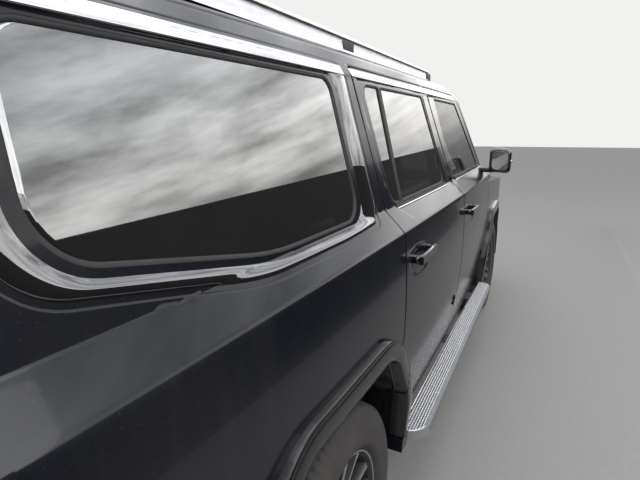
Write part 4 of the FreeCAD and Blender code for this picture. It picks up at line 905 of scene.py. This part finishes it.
FLARE_OUT = [-0.004, -0.001, 0.003, 0.012, 0.030, 0.048, 0.056, 0.060, 0.062, 0.063]
FLARE_DEEP = [0.060, 0.006, 0.0005, -0.0010, -0.0010, 0.0, 0.002, 0.006, 0.012, 0.060]
for tag, x, where, body in (("front", FRONT_AXLE, lambda p: p[1] > 0.392, "chassis"),
                            ("rear", REAR_AXLE, lambda p: p[1] > 0.392 and p[0] < -0.9035, "chassis"),
                            ("rear_door", REAR_AXLE, lambda p: p[1] > 0.460 and p[0] > -0.8985, "door_rl")):
    band("flare_%s_left" % tag, arch(x, 0.30), FLARE_OUT, FLARE_DEEP, flare_map, "flare", body, keep=where,
         gap=0.008)
for tag, x, inner_y, base, height in (("front", FRONT_AXLE, 0.54, -0.001, 0.5),
                                      ("rear", REAR_AXLE, 0.717, 0.0, 1.0)):
    count = 61
    ys = np.linspace(inner_y, 1.022, count) - 0.02
    ribs = 0.004 + 0.005 * np.abs(np.sin(np.linspace(0, PI * 6, count)))
    loops = rings(arch(x, 0.36), list(base + height * ribs), 0.02)
    V = np.concatenate([np.stack([r[:, 0], np.full(len(r), y), r[:, 1]], -1) for r, y in zip(loops, ys)])
    F = [f[::-1] for f in quads(count, len(loops[0])) if V[f][:, 2].mean() > 0.40]
    make("liner_%s_left" % tag, V, F, "plastic", "chassis")

# Wheels: profiles are (y outward, radius)
TREAD = [(0.0, 0.4055), (0.009, 0.4055), (0.018, 0.4053), (0.0187, 0.3970), (0.0255, 0.3970),
         (0.0262, 0.4052), (0.036, 0.4050), (0.046, 0.4048), (0.056, 0.4045), (0.0664, 0.4040),
         (0.0671, 0.3960), (0.0746, 0.3960), (0.0753, 0.4036), (0.084, 0.4030), (0.092, 0.4020),
         (0.100, 0.4005), (0.107, 0.3982), (0.1125, 0.3945), (0.1175, 0.3895), (0.1218, 0.3840),
         (0.1240, 0.3800), (0.1243, 0.3775), (0.1275, 0.3735), (0.1315, 0.3640), (0.1318, 0.3610),
         (0.1345, 0.3500), (0.1362, 0.3380), (0.1370, 0.3260), (0.1368, 0.3140), (0.1352, 0.3020),
         (0.1350, 0.2990), (0.1322, 0.2900), (0.1318, 0.2870), (0.1270, 0.2790), (0.1200, 0.2725),
         (0.1130, 0.2690), (0.1045, 0.2600)]
RIM = [(0.1035, 0.2655), (0.1110, 0.2662), (0.1150, 0.2645), (0.1160, 0.2610), (0.1140, 0.2570),
       (0.1070, 0.2535), (0.1020, 0.2490), (0.0980, 0.2475), (0.0700, 0.2440), (0.0300, 0.2390),
       (-0.0400, 0.2370), (-0.1000, 0.2400), (-0.1145, 0.2520), (-0.1145, 0.2655), (-0.1040, 0.2655),
       (-0.1035, 0.2560), (0.1030, 0.2560), (0.1035, 0.2655)]
LIP = [(0.1022, 0.2502), (0.1070, 0.2540), (0.1142, 0.2574), (0.1163, 0.2610), (0.1152, 0.2648),
       (0.1110, 0.2666)]
HUB = [(0.060, 0.080), (0.0800, 0.0790), (0.0835, 0.0760), (0.0835, 0.0600), (0.0800, 0.0560),
       (0.0740, 0.0480), (0.0740, 0.0400)]
CAP = [(0.0740, 0.0405), (0.0850, 0.0400), (0.0885, 0.0370), (0.0895, 0.0300), (0.0880, 0.0280),
       (0.0880, 0.0)]
DISC = [(-0.026, 0.060), (-0.026, 0.1715), (-0.020, 0.1720), (-0.019, 0.168), (-0.006, 0.168),
        (-0.005, 0.1720), (0.001, 0.1715), (0.002, 0.092), (0.012, 0.082), (0.060, 0.080)]
CUTS = 85
STEPS_PER_CUT = 6
CENTRE_RIB, MIDDLE_RIB, SHOULDER = 0.019, 0.068, 0.075


def tyre_points():
    """The tyre's rings from its outer to its inner bead, with slanted cuts across the tread blocks."""
    profile = np.array([(-y, r) for y, r in TREAD[:0:-1]] + TREAD)
    y, r = profile[:, 0], profile[:, 1]
    far = np.abs(y)
    turn = np.arange(CUTS * STEPS_PER_CUT)[:, None]
    slant = np.where(far < MIDDLE_RIB, np.round((far - 0.02) / 0.014) + 3, 0)
    slant = np.where(far < CENTRE_RIB, np.round(y / 0.006), slant)
    slant = np.where(far > SHOULDER, np.round((far - SHOULDER) / 0.02) + 1 + np.where(y > 0, 0, 3), slant)
    phase = (turn + slant) % STEPS_PER_CUT
    block = (far < 0.1245) & (r > 0.3765)
    depth = np.where(far < CENTRE_RIB, 0.0035, np.where(far < MIDDLE_RIB, 0.0055, 0.0065))
    depth = depth * np.clip((0.1246 - far) / 0.004, 0.25, 1.0)
    cut = r - np.where(block & (phase < 2) & (r > 0.3775), depth, 0)
    cut = cut - np.where((far > 0.084) & block & (phase == 4), 0.0018, 0)
    angle = turn * (2 * PI / len(turn))
    points = np.stack([cut * np.sin(angle), np.broadcast_to(y, cut.shape), cut * np.cos(angle)], -1)
    return points.transpose(1, 0, 2)[::-1]


TYRE = tyre_points()
STATION = np.array([0.058, 0.080, 0.105, 0.140, 0.175, 0.205, 0.230, 0.2505])
FACE_Y = np.interp(STATION, [0.058, 0.105, 0.175, 0.2505], [0.0835, 0.0880, 0.0950, 0.1035])
WIDE = np.interp(STATION, [0.058, 0.09, 0.15, 0.21, 0.2505], [0.0115, 0.0088, 0.0078, 0.0086, 0.0120])
BACK = np.interp(STATION, [0.058, 0.10, 0.20, 0.2505], [0.046, 0.040, 0.034, 0.028])
SPOKE_PAIRS, NUTS, NUT_CIRCLE = 7, 6, 0.0665
VALVE_RADIUS, VALVE_TURN = 0.236, 0.45


def spokes(place):
    """Paired spokes with a bright face and dark flanks: points, faces and which material each face takes."""
    V, F, kind = [], [], []
    for k in range(2 * SPOKE_PAIRS):
        a = math.radians((k // 2 + 0.5) * 360 / SPOKE_PAIRS + (-10, 10)[k % 2])
        F += [f[::-1] for f in quads(len(STATION), 10, base=len(V))]
        kind += ([1, 1] + [0] * 5 + [1] * 3) * (len(STATION) - 1)
        for r, fy, w, deep in zip(STATION, FACE_Y, WIDE, BACK):
            half = [(w + 0.0035, fy - deep), (w + 0.0015, fy - 0.004), (w, fy - 0.0012), (w - 0.0016, fy),
                    (w * 0.3, fy - 0.0012)]
            for across, y in [(-b, y) for b, y in half] + half[::-1]:
                V.append((r * math.sin(a) + across * math.cos(a), y, r * math.cos(a) - across * math.sin(a)))
    return np.array(V) + place, F, kind


def nuts(place):
    V, F = [], []
    for k in range(NUTS):
        a = 2 * PI * k / NUTS
        x, z = NUT_CIRCLE * math.sin(a), NUT_CIRCLE * math.cos(a)
        base = len(V)
        for y, r in ((0.078, 0.0115), (0.092, 0.0110), (0.0955, 0.0085)):
            V += [(x + r * math.sin(PI * i / 3), y, z + r * math.cos(PI * i / 3)) for i in range(6)]
        F += quads(3, 6, base=base) + [list(range(base + 12, base + 18))]
    return np.array(V) + place, F


for tag, x, body in (("_front_left", FRONT_AXLE, "wheel_fl"), ("_rear_left", REAR_AXLE, "wheel_rl")):
    place = np.array([x, WHEEL_Y, HUB_Z])
    loft("tyre" + tag, TYRE + place, "tyre", body, caps=False, node="tyre" + tag)
    turned("rim_barrel" + tag, RIM, 144, "alloy_dark", body, place, slot="alloy", node="rim" + tag)
    turned("rim_lip" + tag, LIP, 144, "alloy", body, place, slot="alloy")
    turned("hub" + tag, HUB, 72, "alloy", body, place, slot="alloy")
    turned("cap" + tag, CAP, 64, "gloss", body, place)
    turned("disc" + tag, DISC, 96, "steel", body, place)
    V, F, kind = spokes(place)
    for ob in make("spokes" + tag, V, F, ["alloy", "alloy_dark"], body, slot="alloy", indices=kind):
        ob.modifiers.new("edge", "EDGE_SPLIT").split_angle = math.radians(38)
    make("nuts" + tag, *nuts(place), "chrome", body, smooth=False)
    stem = [place + np.array([VALVE_RADIUS * math.sin(VALVE_TURN), y, VALVE_RADIUS * math.cos(VALVE_TURN)])
            for y in (0.07, 0.085, 0.100)]
    tube("valve" + tag, stem, [0.004, 0.0035, 0.003], "rubber", body, 8, slot="")

# Running boards
BOARD = [(-0.790, 0.985, 0.012), (1.223, 0.985, 0.012), (1.223, 1.085, 0.085), (-0.790, 1.085, 0.095)]
DOT_PITCH, DOT_ROWS, ROW_PITCH = 0.0135, 8, 0.0108


def board_map(u, v, off):
    fall = 0.004 * np.clip((v - 1.062) / 0.024, 0, 1) ** 2
    return np.stack([u, v, 0.4235 - fall + off], -1)


panel("board_left", BOARD, board_map, "board", "chassis", grid=(0.1, 0.01), rad=0.010, lip=0.036)
V, F = [], []
board_loop = rings(BOARD, [-0.012], 0.02)[0]
for row in range(DOT_ROWS):
    y = 0.9995 + row * ROW_PITCH
    xs = np.arange(-0.78 + (row % 2) * DOT_PITCH / 2, 1.215, DOT_PITCH)
    for x in xs[inside(board_loop, np.stack([xs, np.full(len(xs), y)], 1))]:
        F += quads(3, 6, base=len(V)) + [list(range(len(V) + 12, len(V) + 18))]
        top = float(board_map(x, y, 0.0)[2])
        for r, h in ((0.0052, 0.0003), (0.0040, 0.0026), (0.0022, 0.0031)):
            V += [(x + 1.15 * r * math.cos(q * PI / 3), y + r * math.sin(q * PI / 3), top + h)
                  for q in range(6)]
make("board_dots_left", V, F, "alloy", "chassis")
band("board_edge_left", BOARD, [-0.0105, -0.006, -0.001, 0.0012, 0.0012, -0.002],
     [-0.0012, -0.0014, 0.002, 0.008, 0.034, 0.0385], board_map, "alloy", "chassis")
tube("board_bead_left", [(x, 0.989, 0.4262) for x in (-0.755, 0.2, 1.20)], 0.0028, "chrome", "chassis", 8)

# Roof rails, with skirts that close the space between the bar and the roof
RAIL_Y = 0.7175
rail_line = [(x, RAIL_Y, z) for x, z in ((-2.046, 1.888), (-2.035, 1.902), (-2.00, 1.9075), (-0.8, 1.9085),
                                         (0.36, 1.9085), (0.415, 1.903), (0.445, 1.888))]
tube("rail_left", rail_line, [0.010, 0.0155, 0.0165, 0.0165, 0.0165, 0.0155, 0.010], "alloy", "chassis", 20,
     0.74, slot="black_plastic", node="roof_rails")
for k, x in enumerate((-1.995, -0.745, 0.395)):
    foot = [(x - 0.055, 0.692, 0.012), (x + 0.055, 0.692, 0.012), (x + 0.055, 0.733, 0.012),
            (x - 0.055, 0.733, 0.012)]
    pillow("rail_foot_%d_left" % k, foot, 1.866, 1.903, 0.006, "plastic", "chassis", 0.006)
DITCH = [(-2.30, 0.634, 0.003), (0.66, 0.634, 0.003), (0.66, 0.654, 0.003), (-2.30, 0.654, 0.003)]
band("ditch_left", DITCH, [0.0, -0.003], [-0.0015, -0.0028], roof, "rubber", "chassis")
xs = np.linspace(-2.02, 0.40, 60)
skirt = []
for y, z in ((0.705, None), (0.706, 1.906), (RAIL_Y, 1.9125), (0.7295, 1.906), (0.7325, None)):
    foot_z = roof(xs, np.full(60, y), np.full(60, -0.004))[:, 2]
    skirt.append(np.stack([xs, np.full(60, y), foot_z if z is None else np.full(60, z)], -1))
loft("rail_skirt_left", skirt, "alloy", "chassis", closed=False, caps=False, slot="black_plastic")

# Mirrors
MIRROR = [(1.036, 1.022, 0.012), (1.188, 1.022, 0.06), (1.172, 1.130, 0.05), (1.120, 1.161, 0.03),
          (1.047, 1.161, 0.022)]
MIRROR_MIDDLE = 1.381
ARM = [(1.076, 0.930, 0.02), (1.146, 0.930, 0.02), (1.146, 1.060, 0.02), (1.076, 1.060, 0.02)]
GLASS_M = [(1.040, 1.318, 0.03), (1.040, 1.444, 0.03), (1.145, 1.436, 0.035), (1.145, 1.310, 0.03)]
BLINK = [(1.052, 1.1615, 1.372), (1.085, 1.1635, 1.371), (1.118, 1.1625, 1.370), (1.146, 1.152, 1.369),
         (1.168, 1.134, 1.368)]


def mirror_swell(q):
    """Thins the mirror's shell toward its front and lets it droop toward its tip."""
    t = np.clip((q[:, 0] - 1.036) / 0.15, 0, 1)
    z = MIRROR_MIDDLE + (q[:, 2] - MIRROR_MIDDLE) * (1 - 0.22 * t ** 1.5)
    return np.stack([q[:, 0], q[:, 1], z - 0.010 * np.clip((q[:, 1] - 1.03) / 0.13, 0, 1)], -1)


def back_face(u, v, off):
    return np.stack([1.0362 - off, u, v], -1)


pillow("mirror_shell_left", MIRROR, 1.294, 1.468, 0.036, "gloss", "door_fl", 0.008, mirror_swell,
       node="mirror_left")
pillow("mirror_arm_left", ARM, 1.290, 1.320, 0.009, "plastic", "door_fl", 0.01)
panel("mirror_glass_left", GLASS_M, back_face, "mirror", "door_fl", grid=(0.02, 0.02), rad=0.001, lip=0.003,
      lift=0.0012)
band("mirror_ring_left", GLASS_M, [0.001, 0.003, 0.006, 0.009], [-0.001, -0.0035, -0.0035, 0.001], back_face,
     "plastic", "door_fl")
tube("mirror_strip_left", BLINK, [0.003, 0.0055, 0.006, 0.0055, 0.003], "chrome", "door_fl", 10, 1.5)

# Handles: stations along the grip with how far out, how high and how thick it is at each
GRIP = [(-0.108, 0.018, 0.008, 0.006), (-0.104, 0.026, 0.0125, 0.010), (-0.092, 0.033, 0.0150, 0.0105),
        (-0.06, 0.038, 0.0158, 0.0090), (0.0, 0.0395, 0.0160, 0.0085)]
GRIP += [(-x, out, high, thick) for x, out, high, thick in GRIP[-2::-1]]
GRIP_Z = 1.149
a = np.linspace(0, 2 * PI, 20, endpoint=False)
round_y, round_z = [np.sign(q) * np.abs(q) ** 0.75 for q in (np.cos(a), np.sin(a))]
for tag, x, body in (("rear", -0.730, "door_rl"), ("front", 0.300, "door_fl")):
    y = float(ysec(GRIP_Z) - recede(x))
    grip = [np.stack([np.full(20, x + dx), y + out - thick + thick * round_y, GRIP_Z + high * round_z], -1)
            for dx, out, high, thick in GRIP]
    loft("handle_%s_left" % tag, grip, "gloss", body)
    bar = [np.stack([np.full(4, x + dx), y + out + np.array([-0.002, 0.0012, 0.0012, -0.002]),
                     GRIP_Z + 0.0055 + 0.0042 * np.array([-1, -0.5, 0.5, 1])], -1)
           for dx, out, high, thick in GRIP[1:-1]]
    loft("handle_strip_%s_left" % tag, bar, "chrome", body, closed=False, caps=False)

# Front end
NOSE_PLAN = rings([(-0.5, -0.2, 0), (2.7265, -0.2, 0), (2.7265, 0.12, 0), (2.6815, 0.6868, 0.9),
                   (2.4915, 1.010, 0.15), (1.5265, 1.17, 0), (-0.5, 1.21, 0)], [0.0], 0.01)[0]
NOSE_PLAN = NOSE_PLAN[(NOSE_PLAN[:, 0] > 2.2) & (NOSE_PLAN[:, 1] > -0.1)]
NOSE_PLAN = NOSE_PLAN[np.argsort(NOSE_PLAN[:, 1])]


def front(u, v, off):
    """The front's face at offset u from the middle and height v."""
    return np.stack([np.interp(np.abs(u), NOSE_PLAN[:, 1], NOSE_PLAN[:, 0]) + off, u, v], -1)


def patch(name, box, mapper, mat, body, grid, lift, rad=0.004, lip=0.018, **more):
    """A rounded rectangle; its box gives both ends across, both heights and the corner radius."""
    return panel(name, rect(*box), mapper, mat, body, grid=grid, lift=lift, rad=rad, lip=lip, **more)


def round_patch(name, y, z, r, mapper, mat, body, lift, lip=0.006, **more):
    box = (y - r, y + r, z - r, z + r, r * 0.98)
    return patch(name, box, mapper, mat, body, (r / 2, r / 2), lift, 0.004, lip, **more)


# The near-black sheets behind the grille and the lower mouth are painted shade in the openings
for name, box, mat, grid, lift, rad in (
        ("grille_back", (-0.622, 0.622, 0.818, 1.067, 0.01), "dark", (0.1, 0.1), -0.050, 0.004),
        ("lamp_bezel_left", (0.648, 0.962, 0.908, 1.079, 0.02), "gloss", (0.02, 0.03), -0.001, 0.004),
        ("lamp_signal_left", (0.660, 0.955, 0.922, 0.942, 0.008), "amber", (0.03, 0.02), 0.003, 0.003),
        ("lamp_line_left", (0.660, 0.955, 1.058, 1.068, 0.004), "lamp", (0.03, 0.02), 0.003, 0.002),
        ("mouth_back", (-0.552, 0.552, 0.434, 0.556, 0.01), "dark", (0.1, 0.1), -0.030, 0.004),
        ("front_valance", (-0.80, 0.80, 0.336, 0.418, 0.02), "plastic", (0.05, 0.03), 0.002, 0.005),
        ("front_plate_holder", (-0.268, 0.268, 0.612, 0.738, 0.006), "plastic", (0.06, 0.04), 0.005, 0.003),
        ("front_plate", (-0.26, 0.26, 0.620, 0.730, 0.006), "plate", (0.06, 0.04), 0.007, 0.001)):
    patch(name, box, front, mat, "chassis", grid, lift, rad)
for k in range(11):
    y = -0.55 + 0.11 * k
    patch("grille_post_%d" % k, (y - 0.004, y + 0.004, 0.818, 1.067, 0.001), front, "gloss", "chassis",
          (0.01, 0.05), -0.012, 0.002, 0.02)
for k, z in enumerate((0.462, 0.495, 0.528)):
    patch("mouth_bar_%d" % k, (-0.552, 0.552, z - 0.006, z + 0.006, 0.003), front, "plastic", "chassis",
          (0.05, 0.01), -0.012, 0.003, 0.02)
for k, y in enumerate((0.700, 0.775, 0.850, 0.920)):
    round_patch("lamp_eye_%d_left" % k, y, 1.008, 0.030, front, "lamp", "chassis", 0.004)
    round_patch("lamp_core_%d_left" % k, y, 1.008, 0.014, front, "mirror", "chassis", 0.0065,
                slot="lamp_lens")
for tag, r, mat, lift in (("ring", 0.058, "plastic", 0.002), ("glass", 0.042, "lamp", 0.006)):
    round_patch("fog_%s_left" % tag, 0.730, 0.520, r, front, mat, "chassis", lift, slot="lamp_lens")

# Cowl and wipers
ys = np.linspace(-0.84, 0.84, 41)
hood_x = 1.640 - np.clip(np.abs(ys) - 0.15, 0, 1) * 0.1986
edge_front = np.stack([hood_x, ys, hood_z(hood_x, ys) - 0.016], -1)
edge_back = screen_map(np.full(41, 0.022), ys * 0.93, np.full(41, -0.003))
trough = edge_front * 0.5 + edge_back * 0.5 - [0, 0, 0.006]
loft("cowl", [edge_front - [0, 0, 0.010], edge_front, trough, edge_back], "plastic", "chassis", closed=False,
     caps=False)
w = np.linspace(0, 1, 12)
for k, (pivot, outer, inner) in enumerate(((0.58, 0.34, -0.16), (-0.12, -0.36, -0.70))):
    tip = outer + 0.30
    blade = screen_map(0.055 + 0.030 * w, tip - (tip - inner) * w, np.full(12, 0.011))
    tube("wiper_blade_%d" % k, blade, 0.0055, "rubber", "chassis", 8)
    reach = (outer + inner) / 2 + 0.12 - pivot
    arm = screen_map(0.018 + 0.052 * w, pivot + reach * w, 0.012 + 0.012 * np.sin(w * PI))
    tube("wiper_arm_%d" % k, arm, 0.0065, "plastic", "chassis", 8, 0.6)

# Tailgate
for name, box, mat, grid, lift, rad, lip in (
        ("rear_plate", (-0.26, 0.26, 0.815, 0.925, 0.006), "plate", (0.06, 0.04), -0.012, 0.001, 0.003),
        ("gate_grip", (-0.33, 0.33, 0.982, 1.012, 0.012), "chrome", (0.05, 0.01), 0.014, 0.006, 0.016),
        ("high_lamp", (-0.17, 0.17, 1.768, 1.786, 0.006), "red", (0.04, 0.01), 0.004, 0.003, 0.018),
        ("plate_light_0", (-0.18, -0.12, 0.948, 0.958, 0.003), "lamp", (0.02, 0.01), -0.010, 0.002, 0.018),
        ("plate_light_1", (0.12, 0.18, 0.948, 0.958, 0.003), "lamp", (0.02, 0.01), -0.010, 0.002, 0.018)):
    patch(name, box, rear_face, mat, "gate", grid, lift, rad, lip)
w = np.linspace(0, 1, 14)
arm = rear_face(0.02 + 0.30 * w, 1.285 + 0.035 * w, 0.012 + 0.012 * np.sin(w * PI))
tube("rear_wiper_arm", arm, 0.0065, "plastic", "gate", 8)
tube("rear_wiper_blade", rear_face(0.14 + 0.42 * w, np.full(14, 1.330), np.full(14, 0.009)), 0.0055,
     "rubber", "gate", 8)
round_patch("rear_wiper_pivot", 0.02, 1.285, 0.022, rear_face, "plastic", "gate", 0.016, 0.014)

# Cabin lining
patch("roof_lining", (-2.20, 0.55, -0.60, 0.60, 0.08), roof, "liner", "chassis", (0.15, 0.08), -0.060,
      lip=0.006)
TRIM_FRONT = [(0.20, 0.50, 0.05), (1.08, 0.50, 0.05), (1.08, 1.27, 0.04), (0.22, 1.27, 0.04)]
TRIM_REAR = [(-0.68, 0.60, 0.05), (0.02, 0.52, 0.05), (0.02, 1.27, 0.04), (-0.80, 1.27, 0.04)]
for name, outline, body in (("trim_front_left", TRIM_FRONT, "door_fl"),
                            ("trim_rear_left", TRIM_REAR, "door_rl")):
    panel(name, outline, side, "dash", body, grid=(0.06, 0.06), rad=0.012, lip=0.016, lift=-0.120)
blocks("dash_screen", [((0.935, -0.15, 1.02), (0.958, 0.15, 1.175))], "gloss", 0.006)
blocks("dash_cluster", [((0.925, 0.26, 1.085), (1.02, 0.58, 1.20))], "dash", 0.02, 3)
blocks("dash_vents", [((0.948, y - 0.06, 1.03), (0.961, y + 0.06, 1.09)) for y in (-0.74, -0.30, 0.74)],
       "plastic", 0.004)
blocks("console_top", [((0.30, -0.07, 0.955), (0.60, 0.07, 0.985))], "leather", 0.01, 3)

# Seats
TOP, FACE = (2, 1), (0, 1)
SEAM_HALF = 0.0065
CLOTH = dict(quality=4, mass=0.25, tension_stiffness=18, compression_stiffness=18, shear_stiffness=8,
             bending_stiffness=0.6, use_pressure=True, uniform_pressure_force=4.0, vertex_group_mass="hold")
CLOTH_FRAMES = 20
FLOOR_Z, CUSHION_MIDDLE, CUSHION_TOP = 0.655, 0.222, 0.29
BACK_FOOT, BACK_RUN, HEAD_BEHIND, HEAD_ABOVE = 0.165, 0.13, 0.305, 0.085


def blown_up(ob, rest):
    """How far a cloth simulation moves each point of a cushion under air pressure."""
    cloth = ob.modifiers.new("cloth", "CLOTH")
    for key, value in CLOTH.items():
        setattr(cloth.settings, key, value)
    cloth.settings.effector_weights.gravity = 0.0
    cloth.point_cache.frame_start = 1
    cloth.point_cache.frame_end = CLOTH_FRAMES
    for frame_no in range(1, CLOTH_FRAMES + 1):
        scene.frame_set(frame_no)
    done = ob.evaluated_get(bpy.context.evaluated_depsgraph_get())
    moved = np.empty(rest.size)
    done.data.vertices.foreach_get("co", moved)
    scene.frame_set(1)
    ob.modifiers.clear()
    return moved.reshape(-1, 3) - rest


def stuffed(name, size, seams, cap):
    """A sewn cushion about its own middle, as vertices and faces; a seam is an axis, a place and a side."""
    me = bpy.data.meshes.new(name)
    me.from_pydata(box_points([-s / 2 for s in size], [s / 2 for s in size]), [], CUBE)
    ob = bpy.data.objects.new(name, me)
    scene.collection.objects.link(ob)
    bevel = ob.modifiers.new("bevel", "BEVEL")
    bevel.width = min(size) * 0.30
    bevel.segments = 4
    grid = ob.modifiers.new("grid", "REMESH")
    grid.mode = "VOXEL"
    grid.voxel_size = 0.011 if max(size) < 0.9 else 0.014
    dense = bpy.data.meshes.new_from_object(ob.evaluated_get(bpy.context.evaluated_depsgraph_get()))
    ob.modifiers.clear()
    ob.data = dense
    n = len(dense.vertices)
    rest = np.empty(n * 3)
    dense.vertices.foreach_get("co", rest)
    rest = rest.reshape(-1, 3)
    sewn = np.zeros(n, bool)
    for axis, value, (facing, way) in seams:
        sewn |= (np.abs(rest[:, axis] - value) < SEAM_HALF) & (rest[:, facing] * way > size[facing] * 0.42)
    hold = ob.vertex_groups.new(name="hold")
    for i in np.nonzero(sewn)[0]:
        hold.add([int(i)], 1.0, "REPLACE")
    moved = blown_up(ob, rest)
    far = np.linalg.norm(moved, axis=1, keepdims=True)
    V = rest + moved * np.minimum(1.0, cap / np.maximum(far, 1e-9))
    F = [tuple(p.vertices) for p in dense.polygons]
    bpy.data.objects.remove(ob)
    return V, F


def seat_row(tag, node, x, places, width, back, shapes):
    """Seats side by side: cushion, leaning back and head restraint on a plain base and two posts."""
    tall = back - CUSHION_TOP
    lean = math.atan2(BACK_RUN, tall)
    turn = np.array([[math.cos(lean), 0, -math.sin(lean)], [0, 1, 0], [math.sin(lean), 0, math.cos(lean)]])
    middle = np.array([x - BACK_FOOT - math.tan(lean) * tall / 2, 0, FLOOR_Z + CUSHION_TOP + tall / 2])
    for k, y in enumerate(places):
        name = "%s_%d" % (tag, k)
        spots = (("cushion", np.array([x + 0.005, y, FLOOR_Z + CUSHION_MIDDLE]), np.eye(3)),
                 ("back", middle + [0, y, 0], turn),
                 ("head", np.array([x - HEAD_BEHIND, y, FLOOR_Z + back + HEAD_ABOVE]), np.eye(3)))
        for (V, F), (part, place, R) in zip(shapes, spots):
            ob = make(name + "_" + part, V @ R.T + place, F, "leather", "chassis")[0]
            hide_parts(node)
        half = width / 2 - 0.06
        low, high = (x - 0.18, y - half, FLOOR_Z + 0.001), (x + 0.18, y + half, FLOOR_Z + 0.155)
        blocks(name + "_base", [(low, high)], "plastic", 0.012, node=node)
        for post, dy in (("a", -0.055), ("b", 0.055)):
            line = [(x - 0.302, y + dy, FLOOR_Z + back - 0.02), (x - 0.304, y + dy, FLOOR_Z + back + 0.04)]
            tube(name + "_post_" + post, line, 0.006, "steel", "chassis", 10, slot="bright_metal", node=node)


pad = stuffed("pad", (0.462, 0.514, 0.116),
              [(1, -0.15, TOP), (1, 0.15, TOP), (0, -0.06, TOP), (0, 0.08, TOP)], 0.020)
rest = stuffed("rest", (0.096, 0.514, 0.530),
               [(1, -0.15, FACE), (1, 0.15, FACE), (2, -0.08, FACE), (2, 0.10, FACE)], 0.018)
head = stuffed("head", (0.074, 0.238, 0.140), [], 0.012)
bench_pad = stuffed("bench_pad", (0.462, 1.150, 0.116),
                    [(1, -0.20, TOP), (1, 0.20, TOP), (0, 0.02, TOP)], 0.020)
bench_rest = stuffed("bench_rest", (0.096, 1.150, 0.398),
                     [(1, -0.20, FACE), (1, 0.20, FACE), (2, 0.0, FACE)], 0.018)
middle_rest = (rest[0] * [1, 1, 0.905], rest[1])
seat_row("front_seat", "front_seats", 0.40, (0.42, -0.42), 0.54, 0.83, (pad, rest, head))
seat_row("middle_seat", "middle_seats", -0.42, (0.42, -0.42), 0.54, 0.78, (pad, middle_rest, head))
seat_row("bench", "rear_bench", -1.33, (0.0,), 1.18, 0.70, (bench_pad, bench_rest, head))
